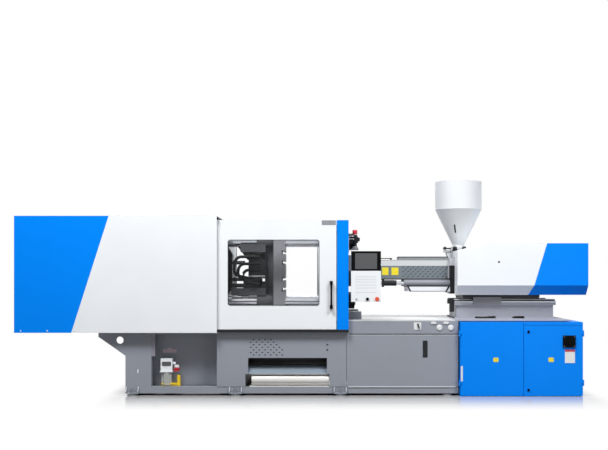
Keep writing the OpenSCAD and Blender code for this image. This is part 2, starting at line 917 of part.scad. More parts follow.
module moving_platen() {
    half = platen_s / 2;
    body_x = moving_x - moving_t;
    rear_x = body_x - moving_body_t;
    color(cast_grey)
        difference() {
            union() {
                block([body_x, moving_x], [-half, half], [axis_z - half, axis_z + half]);
                block([rear_x, body_x], [-half + 90, half - 90],
                    [axis_z - half + 90, axis_z + half - 90]);
                at_tie_bars()
                    bar_x(rear_x - 75, body_x + 1, 0, 0, tie_r + 26);
                both_sides()
                    block([body_x - 150, moving_x], [way_y0, way_y1],
                        [way_z1 + running, axis_z - half]);
                both_sides()
                    for (i = [0, 2])
                        for (z = [-pin_row, pin_row]) {
                            block([pin_c_x, rear_x + 1], [cheek_y[i], cheek_y[i + 1]],
                                [axis_z + z - eye_r + 5, axis_z + z + eye_r - 5]);
                            bar_y(pin_c_x, cheek_y[i], cheek_y[i + 1], axis_z + z,
                                eye_r - 5);
                        }
                both_sides()
                    for (z = [-pin_row, pin_row])
                        bar_y(pin_c_x, cheek_y[0], cheek_y[3], axis_z + z, pin_r);
            }
            at_tie_bars()
                bar_x(rear_x - 80, moving_x + 1, 0, 0, tie_r + running);
            bar_x(moving_x - 15, moving_x + 1, 0, axis_z, locating_r);
            bar_x(rear_x - 1, moving_x - 27, 0, axis_z, ejector_rod_r + running);
            for (y = [-ejector_y, ejector_y])
                for (z = [-ejector_z, ejector_z])
                    bar_x(rear_x - 1, moving_x + 1, y, axis_z + z, ejector_r + running);
            for (z = slot_zs)
                t_slot(moving_x, -1, axis_z + z);
        }
}

module ejector() {
    color(steel) {
        difference() {
            block([ejector_x0, ejector_x0 + 25], [-88, 88], [axis_z - 88, axis_z + 88]);
            for (z = [-guide_z, guide_z])
                bar_x(ejector_x0 - 1, ejector_x0 + 26, 0, axis_z + z, guide_r + 4);
        }
        bar_x(ejector_x0 + 20, moving_x - 155, 0, axis_z, ejector_rod_r);
        for (y = [-ejector_y, ejector_y])
            for (z = [-ejector_z, ejector_z])
                bar_x(ejector_x0 + 20, moving_x - 5, y, axis_z + z, ejector_r);
    }
}

// Sliding door: a folded leaf with a window opening and guide shoes on its rail
module door_leaf() {
    difference() {
        block([door_x0, door_x1], [door_y0, door_y1], [door_z0, door_z1]);
        block([door_x0 + sheet_t, door_x1 - sheet_t], [door_y0 - 1, door_y1 - sheet_t],
            [door_z0 + sheet_t, window_z0 - 40]);
        block([door_x0 + sheet_t, door_x1 - sheet_t], [door_y0 - 1, door_y1 - sheet_t],
            [window_z0 + window_h + 40, door_z1 - sheet_t]);
        upright(door_y0 - 1, door_y1 + 1)
            rounded(window_x0, window_x0 + window_w, window_z0, window_z0 + window_h, window_r);
        upright(door_y0 - 1, door_y0 + pane_t)
            rounded(window_x0 - 20, window_x0 + window_w + 20, window_z0 - 20,
                window_z0 + window_h + 20, window_r);
    }
    for (x = [door_x0 + 100, door_x1 - 220])
        block([x, x + 120], [door_y0 + 2, door_y1 - 2], [rail_top + 0.1, door_z0]);
}

module window_pane() {
    upright(door_y0, door_y0 + pane_t)
        rounded(window_x0 - 19, window_x0 + window_w + 19, window_z0 - 19,
            window_z0 + window_h + 19, window_r);
}

module pull_handle() {
    bar_z(handle_x, door_y1 + 26, handle_z0, handle_z0 + handle_l, 9);
    for (z = [handle_z0, handle_z0 + handle_l - 34])
        block([handle_x - 13, handle_x + 13], [door_y1, door_y1 + 35], [z, z + 34]);
}

module front_door() {
    color(white)
        mirror([0, 1, 0])
            door_leaf();
}

module rear_door() {
    color(white)
        door_leaf();
    color(black)
        pull_handle();
}

module front_window() {
    color("#c8dce8", 0.35)
        mirror([0, 1, 0])
            window_pane();
}

module rear_window() {
    color("#c8dce8", 0.35)
        window_pane();
}

module front_handle() {
    color(black)
        mirror([0, 1, 0])
            pull_handle();
}

// Cabinet: a sheet box with its mounting plate and drives, and hinge sockets
module hinge_socket(x, side, z) {
    difference() {
        union() {
            bar_z(x, hinge_y, z, z + 25, hinge_r);
            block([min(x - side * hinge_r, x), max(x - side * hinge_r, x)],
                [hinge_y, shell_y0 + 14], [z, z + 25]);
            block([min(x - side * hinge_r, x + side * (hinge_off + 2)),
                    max(x - side * hinge_r, x + side * (hinge_off + 2))],
                [shell_y0 + 2, shell_y0 + 14], [z, z + 25]);
        }
        bar_z(x, hinge_y, z - 1, z + 26, hinge_pin_r + running);
    }
}

module hinge_pin(x, side, z) {
    bar_z(x, hinge_y, z + 25.2, z + 55, hinge_r);
    bar_z(x, hinge_y, z + 2, z + 30, hinge_pin_r);
    block([min(x, x + side * (hinge_off + 6)), max(x, x + side * (hinge_off + 6))],
        [hinge_y - hinge_r, hinge_y + 4], [z + 25.2, z + 55]);
}

left_hinge_x = cabinet_x0 - hinge_off;
right_hinge_x = cabinet_x1 + hinge_off;
leaf_split_x = cabinet_x0 + left_leaf_w;

module cabinet_shell() {
    t = sheet_t;
    plate_y = shell_y1 - 60;
    color(blue)
        difference() {
            block([cabinet_x0, cabinet_x1], [shell_y0, shell_y1], [cabinet_z0, cabinet_z1]);
            block([cabinet_x0 + t, cabinet_x1 - t], [shell_y0 - 1, shell_y1 - t],
                [cabinet_z0 + t, cabinet_z1 - t]);
        }
    color(blue) {
        for (z = hinge_zs) {
            hinge_socket(left_hinge_x, 1, z);
            hinge_socket(right_hinge_x, -1, z);
        }
    }
    color(light_grey) {
        block([cabinet_x0 + 60, cabinet_x1 - 60], [plate_y, plate_y + 5],
            [cabinet_z0 + 60, cabinet_z1 - 60]);
        for (x = [cabinet_x0 + 60, cabinet_x1 - 100])
            block([x, x + 40], [plate_y + 5, shell_y1 - t], [cabinet_z0 + 60, cabinet_z1 - 60]);
    }
    color(cast_grey) {
        for (i = [0 : 3])
            block([cabinet_x0 + 100 + i * 120, cabinet_x0 + 200 + i * 120],
                [plate_y - 190, plate_y], [300, 560]);
        for (i = [0 : 2])
            block([cabinet_x0 + 640 + i * 120, cabinet_x0 + 740 + i * 120],
                [plate_y - 90, plate_y], [380, 520]);
        block([cabinet_x0 + 100, cabinet_x0 + 960], [plate_y - 60, plate_y], [120, 200]);
    }
}

module socket_notch(x, side, z) {
    far = x + side * (hinge_off + hinge_r + 1);
    block([min(x, far), max(x, far)], [cabinet_y0 - 1, shell_y0 + 1], [z - 2, z + 25.2]);
}

module lock(x, z) {
    bar_y(x, cabinet_y0 - 5, cabinet_y0, z, 13);
}

module cabinet_door_left() {
    color(blue) {
        difference() {
            block([cabinet_x0 + 1, leaf_split_x - leaf_gap / 2], [cabinet_y0, shell_y0 - 0.3],
                [cabinet_z0, cabinet_z1]);
            for (z = hinge_zs)
                socket_notch(left_hinge_x, 1, z);
        }
        for (z = hinge_zs)
            hinge_pin(left_hinge_x, 1, z);
    }
}

module cabinet_door_right() {
    color(blue) {
        difference() {
            block([leaf_split_x + leaf_gap / 2, cabinet_x1 - 1], [cabinet_y0, shell_y0 - 0.3],
                [cabinet_z0, cabinet_z1]);
            for (z = hinge_zs)
                socket_notch(right_hinge_x, -1, z);
        }
        for (z = hinge_zs)
            hinge_pin(right_hinge_x, -1, z);
    }
    color(steel)
        for (z = [583, 59])
            lock(leaf_split_x + 43, z);
}

module isolator_plate() {
    color(black)
        difference() {
            block([isolator_x - 57, isolator_x + 57], [cabinet_y0 - 12, cabinet_y0],
                [isolator_z - 54, isolator_z + 54]);
            bar_y(isolator_x, cabinet_y0 - 13, cabinet_y0 - 2, isolator_z, 8 + running);
        }
}

module isolator_knob() {
    color(red) {
        bar_y(isolator_x, cabinet_y0 - 12.2, cabinet_y0 - 3, isolator_z, 8);
        bar_y(isolator_x, cabinet_y0 - 30, cabinet_y0 - 12.2, isolator_z, 24);
        block([isolator_x - 8, isolator_x + 8], [cabinet_y0 - 40, cabinet_y0 - 30],
            [isolator_z - 34, isolator_z + 34]);
    }
}

// Arm and lugs on which the control panel swivels
lug_zs = [[990, 1010], [1110, 1130]];

module panel_arm() {
    arm_zs = [lug_zs[0][0], lug_zs[1][1]];
    color(cast_grey)
        difference() {
            union() {
                block([arch_x0 + 10, arch_x1 - 3], [-door_y1 + arch_t, -arm_y + 30], arm_zs);
                block([arch_x0 + 10, swivel_x + 20], [-arm_y, -arm_y + 30], arm_zs);
                for (zs = lug_zs) {
                    block([swivel_x - 11, swivel_x + 11], [swivel_y, -arm_y + 10], zs);
                    bar_z(swivel_x, swivel_y, zs[0], zs[1], 12);
                }
            }
            for (zs = lug_zs)
                bar_z(swivel_x, swivel_y, zs[0] - 1, zs[1] + 1, swivel_r + running);
        }
}

module control_panel() {
    frame_z0 = panel_z0 + panel_h - bezel_h;
    color(white)
        difference() {
            union() {
                block([panel_x0, panel_x0 + panel_w], [panel_y0, panel_y1],
                    [panel_z0, panel_z0 + panel_h]);
                bar_z(swivel_x, swivel_y, lug_zs[0][0], lug_zs[1][1] + 6, swivel_r);
                bar_z(swivel_x, swivel_y, lug_zs[0][1] + 0.2, lug_zs[1][0] - 0.2, 12);
                block([swivel_x - 10, swivel_x + 10], [panel_y1 - 1, swivel_y],
                    [lug_zs[0][1] + 0.2, lug_zs[1][0] - 0.2]);
            }
            block([panel_x0 - 1, panel_x0 + panel_w + 1], [panel_y0 - 1, panel_y0 + 10],
                [frame_z0, panel_z0 + panel_h + 1]);
            bar_y(stop_x, panel_y0 - 1, panel_y0 + 30, button_z, 8 + running);
            bar_y(mode_x, panel_y0 - 1, panel_y0 + 20, button_z, 6 + running);
        }
}

module screen_frame() {
    frame_z0 = panel_z0 + panel_h - bezel_h;
    color(black)
        difference() {
            block([panel_x0, panel_x0 + panel_w], [panel_y0, panel_y0 + 10],
                [frame_z0, panel_z0 + panel_h]);
            block([panel_x0 + 34, panel_x0 + panel_w - 34], [panel_y0 - 1, panel_y0 + 3],
                [frame_z0 + 16, panel_z0 + panel_h - 18]);
        }
}

module stop_button() {
    color(red) {
        bar_y(stop_x, panel_y0 - 10, panel_y0 + 20, button_z, 8);
        bar_y(stop_x, panel_y0 - 22, panel_y0 - 8, button_z, 19);
    }
}

module mode_knob() {
    color(black) {
        bar_y(mode_x, panel_y0 - 2, panel_y0 + 18, button_z, 6);
        bar_y(mode_x, panel_y0 - 14, panel_y0 - 0.5, button_z, 14);
        block([mode_x - 4, mode_x + 4], [panel_y0 - 20, panel_y0 - 14],
            [button_z - 14, button_z + 14]);
    }
}

// Base of the injection unit with its rails
module injection_base() {
    color(cast_grey)
        difference() {
            union() {
                block([base_x0, base_x1], [-base_w / 2, base_w / 2],
                    [base_z1 - flange_h, base_z1]);
                block([base_x0 + 20, base_x1 - 20], [-base_w / 2 + 18, base_w / 2 - 18],
                    [deck_z, base_z1 - flange_h + 1]);
                block([base_x0, base_x1], [-base_w / 2, base_w / 2], [deck_z, deck_z + 14]);
                both_sides()
                    block([base_x0, base_x1], [180, 225], [base_z1 - 1, base_z1 + 18]);
                block([base_x0 - 40, base_x0 + 1], [-base_w / 2, -base_w / 2 + 60],
                    [base_z1 - 103, base_z1 + 15]);
                block([base_x0 - 60, base_x0 + 1], [-base_w / 2, -base_w / 2 + 60],
                    [base_z1 - 21, base_z1 + 15]);
            }
            for (xs = [[195, 392], [546, 660]])
                block([base_x0 + xs[0], base_x0 + xs[1]], [-base_w / 2 - 1, base_w / 2 + 1],
                    [deck_z - 1, deck_z + 22]);
        }
}

// Carriage: base plate on its shoes, feed block, rear plate and guide rods
module carriage() {
    color(cast_grey)
        difference() {
            union() {
                block([carriage_x0, carriage_x1], [-250, 250], [carriage_z0, carriage_z1]);
                both_sides() {
                    for (x = [carriage_x0 + 96, carriage_x0 + 440])
                        block([x, x + 260], [172, 233], [base_z1 + 18.1, carriage_z0]);
                    block([carriage_x0 + 96, carriage_x0 + 359], [249, base_w / 2 + 12],
                        [carriage_z0, carriage_z1 - 8]);
                    block([carriage_x0 + 96, carriage_x0 + 359],
                        [base_w / 2 + 2, base_w / 2 + 12], [821, carriage_z0 + 1]);
                }
                block([feed_block_x0, feed_block_x1], [-190, 190], [922, feed_block_z1]);
                block([carriage_x0, feed_block_x1], [-190, 190], [carriage_z1, 923]);
                block([carriage_x1 - 40, carriage_x1], [-190, 190], [carriage_z1, 1300]);
                for (y = [-guide_rod_y, guide_rod_y])
                    bar_x(feed_block_x1 - 5, carriage_x1 - 35, y, axis_z, guide_rod_r);
            }
            bar_x(feed_block_x0 - 1, feed_block_x1 + 1, 0, axis_z, barrel_r + running);
            bar_z(feed_x, 0, axis_z, feed_block_z1 + 1, 50);
            bar_x(carriage_x1 - 41, carriage_x1 + 1, 0, axis_z, 118);
        }
}

module barrel() {
    color(steel)
        difference() {
            union() {
                bar_x(barrel_x0, feed_block_x1 - 10, 0, axis_z, barrel_r);
                bar_x(tip_x + 40, barrel_x0 + 1, 0, axis_z, 30);
                bar_x(tip_x, tip_x + 41, 0, axis_z, 14);
            }
            bar_x(barrel_x0 + 20, feed_block_x1 + 1, 0, axis_z, screw_r + 0.15);
            bar_x(tip_x - 1, barrel_x0 + 21, 0, axis_z, 5);
            bar_z(feed_x, 0, axis_z, axis_z + barrel_r + 1, 26);
        }
}

module heater_bands() {
    color(steel)
        for (i = [0 : 5])
            difference() {
                bar_x(barrel_x0 + 30 + i * 150, barrel_x0 + 150 + i * 150, 0, axis_z, 72);
                bar_x(barrel_x0 + 29 + i * 150, barrel_x0 + 151 + i * 150, 0, axis_z,
                    barrel_r + running);
            }
}

// Sheet hood over the barrel, perforated towards the hopper
shroud_top = 1237;
shroud_shoulder = 1177;
shroud_low = 1059;
slot_rows = 5;
slot_cols = 9;
slot_pitch = 47;
slot_row_pitch = 21.7;
slot_h = 12;

module barrel_guard() {
    t = 3;
    top_y = 70;
    color(white)
        difference() {
            profile(shroud_x0, feed_block_x0)
                polygon([
                    [-shroud_w, shroud_low], [-shroud_w, shroud_shoulder],
                    [-top_y, shroud_top], [top_y, shroud_top],
                    [shroud_w, shroud_shoulder], [shroud_w, shroud_low],
                    [shroud_w - t, shroud_low], [shroud_w - t, shroud_shoulder - 2],
                    [top_y - 1, shroud_top - t], [-top_y + 1, shroud_top - t],
                    [-shroud_w + t, shroud_shoulder - 2], [-shroud_w + t, shroud_low]]);
            upright(-shroud_w - 1, shroud_w + 1)
                for (row = [0 : slot_rows - 1])
                    for (i = [0 : slot_cols - 1])
                        translate([mould_x + 704 + (i + row % 2 / 2) * slot_pitch,
                                shroud_low + 16 + row * slot_row_pitch])
                            polygon([[0, 0], [9, 0], [24, slot_h], [15, slot_h]]);
        }
    color(base_grey)
        block([mould_x + 675, feed_block_x0], [-50, 50], [shroud_top, shroud_top + 27]);
}

// Hinged hood over the nozzle

module purge_guard() {
    t = 3;
    color(white)
        difference() {
            union() {
                block([purge_x0, purge_x1], [-purge_y, purge_pin_y], [purge_z - t, purge_z]);
                block([purge_x0, purge_x1], [-purge_y, -purge_y + t], [1060, purge_z]);
                bar_x(purge_x0, purge_x1, purge_pin_y, purge_pin_z, 10);
            }
            bar_x(purge_x0 - 1, purge_x1 + 1, purge_pin_y, purge_pin_z, purge_pin_r + running);
        }
}

module carriage_cylinders() {
    color(base_grey)
        both_sides()
            difference() {
                bar_x(ram_x0, ram_x1, ram_y, ram_z, cylinder_r);
                bar_x(ram_x0 - 1, ram_x1 - 32, ram_y, ram_z, cylinder_rod_r + running);
            }
}

module carriage_rods() {
    color(steel)
        both_sides() {
            bar_x(fixed_x1, ram_x0 + carriage_forward + 200, ram_y, ram_z, cylinder_rod_r);
            bar_x(mould_x + 530, mould_x + 650, ram_y, ram_z, 26);
        }
    color(black)
        block([mould_x + 509, mould_x + 532], [-180, 180], [979, shroud_low - 3]);
}

module drip_tray() {
    t = 3;
    color(white)
        difference() {
            block([mould_x + 755, feed_block_x0], [-190, 190], [936, 982]);
            block([mould_x + 755 + t, feed_block_x0 - t], [-190 + t, 190 - t], [936 + t, 983]);
        }
}

// Cover over the injection drive, with folded lower sides
module cover_outline(inset) {
    polygon([
        [-cover_low_w / 2 + inset, cover_z0],
        [-cover_w / 2 + inset, cover_fold_z],
        [-cover_w / 2 + inset, cover_z1 - inset],
        [cover_w / 2 - inset, cover_z1 - inset],
        [cover_w / 2 - inset, cover_fold_z],
        [cover_low_w / 2 - inset, cover_z0]]);
}

module cover_side(inset) {
    upright(-cover_w, cover_w)
        polygon([
            [cover_x0 - 5, cover_z0 - 5], [cover_x1 + 5, cover_z0 - 5],
            [cover_x1 + 5, cover_z1 - inset], [cover_slope_x, cover_z1 - inset],
            [cover_x0, cover_nose_z - inset], [cover_x0 - 5, cover_nose_z - inset]]);
}

module cover_shell() {
    t = sheet_t;
    difference() {
        intersection() {
            profile(cover_x0, cover_x1)
                cover_outline(0);
            cover_side(0);
        }
        translate([0, 0, -0.01])
            intersection() {
                profile(cover_x0 + t, cover_x1 - t)
                    cover_outline(t);
                cover_side(t);
            }
        block([cover_x0 - 1, cover_x0 + t + 1], [-192, 192], [cover_z0 - 1, 1262]);
        block([cover_x0 - 1, feed_block_x1 + 10], [-90, 90], [1240, cover_z1 + 1]);
    }
    both_sides()
        block([cover_x0, cover_x1], [cover_low_w / 2 - 82, cover_low_w / 2 - 1],
            [carriage_z1, carriage_z1 + t]);
}

module cover_seam() {
    upright(-cover_w, cover_w)
        polygon([
            [cover_x1 - 380, cover_z1 + 5], [cover_x1 - 500, cover_fold_z],
            [cover_x1 - 543, cover_z0 - 5], [cover_x1 + 5, cover_z0 - 5],
            [cover_x1 + 5, cover_z1 + 5]]);
}

module injection_cover() {
    color(white)
        difference() {
            cover_shell();
            cover_seam();
        }
}

module injection_cover_end() {
    color(blue)
        intersection() {
            cover_shell();
            cover_seam();
        }
}

// Hopper: a square foot with the gate's slot, a cone with its neck, and a cylinder
foot_z1 = gate_z0 + 35;

module hopper_foot() {
    color(black)
        difference() {
            block([feed_x - 73, feed_x + 73], [-73, 73], [hopper_z0, foot_z1]);
            bar_z(feed_x, 0, hopper_z0 - 1, foot_z1 + 1, neck_r - hopper_t);
            block([feed_x - 74, feed_x + 68], [-60, 60], [gate_z0, gate_z0 + gate_t + 0.2]);
        }
}

module hopper_cone() {
    t = hopper_t;
    color(light_grey)
        translate([feed_x, 0, 0])
            rotate_extrude()
                polygon([
                    [neck_r, foot_z1], [neck_r, neck_z1], [hopper_r, cone_z1],
                    [hopper_r - t, cone_z1], [neck_r - t, neck_z1 + 1], [neck_r - t, foot_z1]]);
}

module hopper_drum() {
    color(light_grey)
        difference() {
            bar_z(feed_x, 0, cone_z1, hopper_z1 - 5, hopper_r);
            bar_z(feed_x, 0, cone_z1 - 1, hopper_z1 - 4, hopper_r - hopper_t);
        }
    color(steel)
        for (x = [-30, 10])
            difference() {
                translate([feed_x, 0, 0])
                    union() {
                        bar_x(x, x + 20, hopper_r + 8, hopper_z1 - 12, 7);
                        block([x, x + 20], [hopper_r - 2, hopper_r + 8],
                            [hopper_z1 - 19, hopper_z1 - 12]);
                    }
                bar_x(feed_x - 40, feed_x + 40, hopper_r + 8, hopper_z1 - 12,
                    3 + running);
            }
}

module hopper_lid() {
    color(light_grey) {
        bar_z(feed_x, 0, hopper_z1 - 4.8, hopper_z1, hopper_r);
        block([feed_x - 9.8, feed_x + 9.8], [hopper_r - 12, hopper_r + 12],
            [hopper_z1 - 4.8, hopper_z1]);
        bar_x(feed_x - 9.8, feed_x + 9.8, hopper_r + 8, hopper_z1 - 12, 7);
        block([feed_x - 9.8, feed_x + 9.8], [hopper_r + 2, hopper_r + 14],
            [hopper_z1 - 12, hopper_z1 - 4]);
        bar_x(feed_x - 30, feed_x + 30, hopper_r + 8, hopper_z1 - 12, 3);
    }
}

module hopper_gate() {
    color(steel) {
        block([feed_x - 130, feed_x + 64], [-59.8, 59.8], [gate_z0 + 0.1, gate_z0 + gate_t]);
        block([feed_x - 142, feed_x - 130], [-40, 40], [gate_z0 - 15, gate_z0 + gate_t]);
    }
}

module injection_slide() {
    color(base_grey)
        difference() {
            union() {
                block([slide_x0, slide_x0 + slide_t], [-195, 195], [axis_z - 140, axis_z + 140]);
                bar_x(slide_x0 + slide_t, slide_x0 + 440, 0, axis_z, 108);
            }
            for (y = [-guide_rod_y, guide_rod_y])
                bar_x(slide_x0 - 1, slide_x0 + slide_t + 1, y, axis_z, guide_rod_r + running);
            bar_x(slide_x0 - 1, slide_x0 + 60, 0, axis_z, 26 + running);
        }
}

// Plasticising screw: a helical flight on a core, and a plain shank
flight_pitch = 75;
flight_turns = 12;
flight_steps = 10;

module screw() {
    x0 = barrel_x0 + 50;
    color(steel) {
        translate([x0, 0, axis_z])
            rotate([0, 90, 0])
                linear_extrude(flight_pitch * flight_turns, twist = -360 * flight_turns, $fn = 10,
                        slices = flight_turns * flight_steps)
                    polygon([
                        [screw_r - 0.4, -5], [screw_r - 0.4, 5], [15, 8],
                        [0, 17], [-15, 8], [-15, -8], [0, -17], [15, -8]]);
        bar_x(x0 + flight_pitch * flight_turns - 4, slide_x0 - 60, 0, axis_z, screw_r);
        bar_x(slide_x0 - 65, slide_x0 + 58, 0, axis_z, 26);
        bar_x(x0 - 20, x0 + 2, 0, axis_z, 12);
    }
}

// Lubrication pump in the recess of the bed
pump_x = recess_x0 + 134;
pump_y = -side_y + 67;

module lube_pump() {
    recess_y = side_y - beam_w - 60;
    color(white) {
        block([pump_x - 52, pump_x + 52], [pump_y - 45, pump_y + 45], [220, 334]);
        block([pump_x - 56, pump_x + 56], [pump_y - 48, pump_y + 48], [211, 220]);
        block([pump_x - 30, pump_x + 30], [pump_y + 44, -recess_y - sheet_t], [240, 310]);
        bar_x(pump_x + 52, pump_x + 80, pump_y, 287, 14);
    }
}

module lube_reservoir() {
    color("#e8e0a0", 0.6)
        difference() {
            bar_z(pump_x, pump_y, 90, 211, 47);
            bar_z(pump_x, pump_y, 94, 212, 44);
        }
}

bed_frame();
deck();
clamp_ways();
levelling_feet();
grille_panel();
side_panels();
product_chute();
fixed_platen();
tie_bars();
tie_bar_nuts();
platen_arch();
clamp_guard();
clamp_guard_end();
door_rails();
tailstock();
clamp_drive();
upper_rear_link();
lower_rear_link();
upper_front_link();
lower_front_link();
upper_drive_link();
lower_drive_link();
crosshead();
moving_platen();
ejector();
front_door();
front_window();
front_handle();
rear_door();
rear_window();
cabinet_shell();
cabinet_door_left();
cabinet_door_right();
isolator_plate();
isolator_knob();
panel_arm();
control_panel();
screen_frame();
stop_button();
mode_knob();
injection_base();
carriage();
barrel();
heater_bands();
barrel_guard();
purge_guard();
carriage_cylinders();
carriage_rods();
drip_tray();
injection_cover();
injection_cover_end();
hopper_foot();
hopper_cone();
hopper_drum();
hopper_lid();
hopper_gate();
injection_slide();
screw();
lube_pump();
lube_reservoir();
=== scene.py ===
"""Injection moulding machine: finishes, small fittings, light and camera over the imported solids."""

from __future__ import annotations

import json
import logging
import math
from dataclasses import dataclass, field
from enum import Enum
from typing import Sequence

import bmesh
import bpy
from mathutils import Matrix, Vector

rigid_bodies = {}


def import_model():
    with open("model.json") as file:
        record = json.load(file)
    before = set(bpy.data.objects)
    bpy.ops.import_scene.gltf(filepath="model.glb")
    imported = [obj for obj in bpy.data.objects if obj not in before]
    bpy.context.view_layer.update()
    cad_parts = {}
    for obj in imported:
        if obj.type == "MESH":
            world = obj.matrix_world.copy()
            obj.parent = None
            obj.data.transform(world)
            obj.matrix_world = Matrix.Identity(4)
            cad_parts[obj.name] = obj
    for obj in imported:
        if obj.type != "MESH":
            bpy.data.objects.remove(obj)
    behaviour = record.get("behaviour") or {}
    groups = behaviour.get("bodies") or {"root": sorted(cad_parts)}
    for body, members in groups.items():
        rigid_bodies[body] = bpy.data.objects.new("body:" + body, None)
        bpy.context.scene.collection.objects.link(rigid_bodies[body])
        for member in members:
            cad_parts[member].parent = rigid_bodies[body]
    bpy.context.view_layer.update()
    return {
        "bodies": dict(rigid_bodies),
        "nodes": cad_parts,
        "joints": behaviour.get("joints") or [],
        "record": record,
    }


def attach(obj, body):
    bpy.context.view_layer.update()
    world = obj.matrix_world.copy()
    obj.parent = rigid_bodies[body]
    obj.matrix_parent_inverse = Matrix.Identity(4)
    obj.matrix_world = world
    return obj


LOG = logging.getLogger("injection_moulding_machine")
MM = 0.001
FRONT = -1
BACK = 1
SIDES = (("front", FRONT), ("back", BACK))
UP = (0.0, 0.0, 1.0)
OUT_FRONT = (0.0, -1.0, 0.0)
SMOOTH_ANGLE = math.radians(32.0)
Spot = tuple[float, float]
Span = tuple[float, float]
Point = tuple[float, float, float]
Tree = bpy.types.NodeTree
Socket = bpy.types.NodeSocket


def linear(hex_colour: str) -> tuple[float, float, float, float]:
    """Turns an sRGB hex colour to linear light.

    Args:
        hex_colour: Six hex digits after a hash.

    Returns:
        Red, green, blue and alpha in linear light.
    """
    parts = [int(hex_colour[i : i + 2], 16) / 255.0 for i in (1, 3, 5)]
    light = [c / 12.92 if c <= 0.04045 else ((c + 0.055) / 1.055) ** 2.4 for c in parts]
    return (light[0], light[1], light[2], 1.0)


def add_node(
    tree: Tree, kind: str, inputs: dict[str | int, object] | None = None, **settings: object
) -> bpy.types.Node:
    """Adds a node with its settings and inputs.

    Args:
        tree: The node tree that takes the node.
        kind: The node's Blender type name.
        inputs: What its sockets take, by name or index: a value, an output socket to link, or
            a list of them.
        **settings: Attributes to set on the node.

    Returns:
        The new node.
    """
    made = tree.nodes.new(kind)
    for name, value in settings.items():
        setattr(made, name, value)
    for name, value in (inputs or {}).items():
        links = [value] if isinstance(value, bpy.types.NodeSocket) else value
        if isinstance(links, list):
            for link in links:
                tree.links.new(link, made.inputs[name])
        else:
            made.inputs[name].default_value = value
    return made


def blank_tree(owner: bpy.types.Material | bpy.types.World) -> Tree:
    """Empties the node tree of a material or world.

    Args:
        owner: The material or world.

    Returns:
        Its tree.
    """
    owner.use_nodes = True
    owner.node_tree.nodes.clear()
    return owner.node_tree


def tinted(tree: Tree, place: Socket, colour: str, drift: float, patch_mm: float) -> Socket:
    """A colour that drifts a little over the surface, as dust and batch change it.

    Args:
        tree: The material's node tree.
        place: Object coordinates.
        colour: The main colour, as a hex code.
        drift: The share by which the darkest patch is darker.
        patch_mm: The size of a patch.

    Returns:
        The colour.
    """
    inputs = {"Vector": place, "Scale": 1000.0 / patch_mm, "Detail": 3.0, "Roughness": 0.55}
    patches = add_node(tree, "ShaderNodeTexNoise", inputs).outputs["Fac"]
    inputs = {"Value": patches, "From Min": 0.3, "From Max": 0.7, "To Min": 1.0 - drift}
    shade = add_node(tree, "ShaderNodeMapRange", inputs).outputs["Result"]
    inputs = {0: 1.0, 6: linear(colour), 7: shade}
    mixed = add_node(tree, "ShaderNodeMix", inputs, data_type="RGBA", blend_type="MULTIPLY")
    return mixed.outputs[2]


class Coat(Enum):
    """How a painted surface was made: the size of its texture in mm, and its strength."""

    SMOOTH_POWDER = (3.0, 0.03)
    ORANGE_PEEL = (5.0, 0.06)
    CASTING = (9.0, 0.35)


@dataclass(frozen=True)
class Finish:
    """A surface finish that can dress a piece."""

    name: str
    colour: str

    def shader(self, tree: Tree, place: Socket) -> Socket:
        """Builds the surface from object coordinates, in the material's node tree."""
        raise NotImplementedError

    def material(self) -> bpy.types.Material:
        """Makes this finish a Blender material, once.

        Returns:
            The material.
        """
        found = bpy.data.materials.get(self.name)
        if found:
            return found
        made = bpy.data.materials.new(self.name)
        tree = blank_tree(made)
        place = add_node(tree, "ShaderNodeTexCoord").outputs["Object"]
        add_node(tree, "ShaderNodeOutputMaterial", {"Surface": self.shader(tree, place)})
        made.diffuse_color = linear(self.colour)
        return made


@dataclass(frozen=True)
class Paint(Finish):
    """Powder coat or enamel on sheet steel: an even colour with a soft, slightly rippled gloss."""

    coat: Coat = Coat.SMOOTH_POWDER
    roughness: float = 0.42
    specular: float = 0.5
    gloss_spread: float = 0.04
    drift: float = 0.035
    patch_mm: float = 420.0

    def shader(self, tree: Tree, place: Socket) -> Socket:
        """Builds painted steel.

        Args:
            tree: The material's node tree.
            place: Object coordinates.

        Returns:
            The shader output.
        """
        grain_mm, strength = self.coat.value
        inputs = {"Vector": place, "Scale": 1000.0 / grain_mm}
        grain = add_node(tree, "ShaderNodeTexNoise", inputs).outputs["Fac"]
        low, high = self.roughness - self.gloss_spread, self.roughness + self.gloss_spread
        inputs = {"From Min": 0.35, "From Max": 0.65, "To Min": low, "To Max": high, "Value": grain}
        gloss = add_node(tree, "ShaderNodeMapRange", inputs).outputs["Result"]
        inputs = {"Height": grain, "Strength": strength, "Distance": MM}
        relief = add_node(tree, "ShaderNodeBump", inputs).outputs["Normal"]
        inputs = {
            "IOR": 1.5,
            "Metallic": 0.0,
            "Specular IOR Level": self.specular,
            "Base Color": tinted(tree, place, self.colour, self.drift, self.patch_mm),
            "Roughness": gloss,
            "Normal": relief,
        }
        return add_node(tree, "ShaderNodeBsdfPrincipled", inputs).outputs["BSDF"]


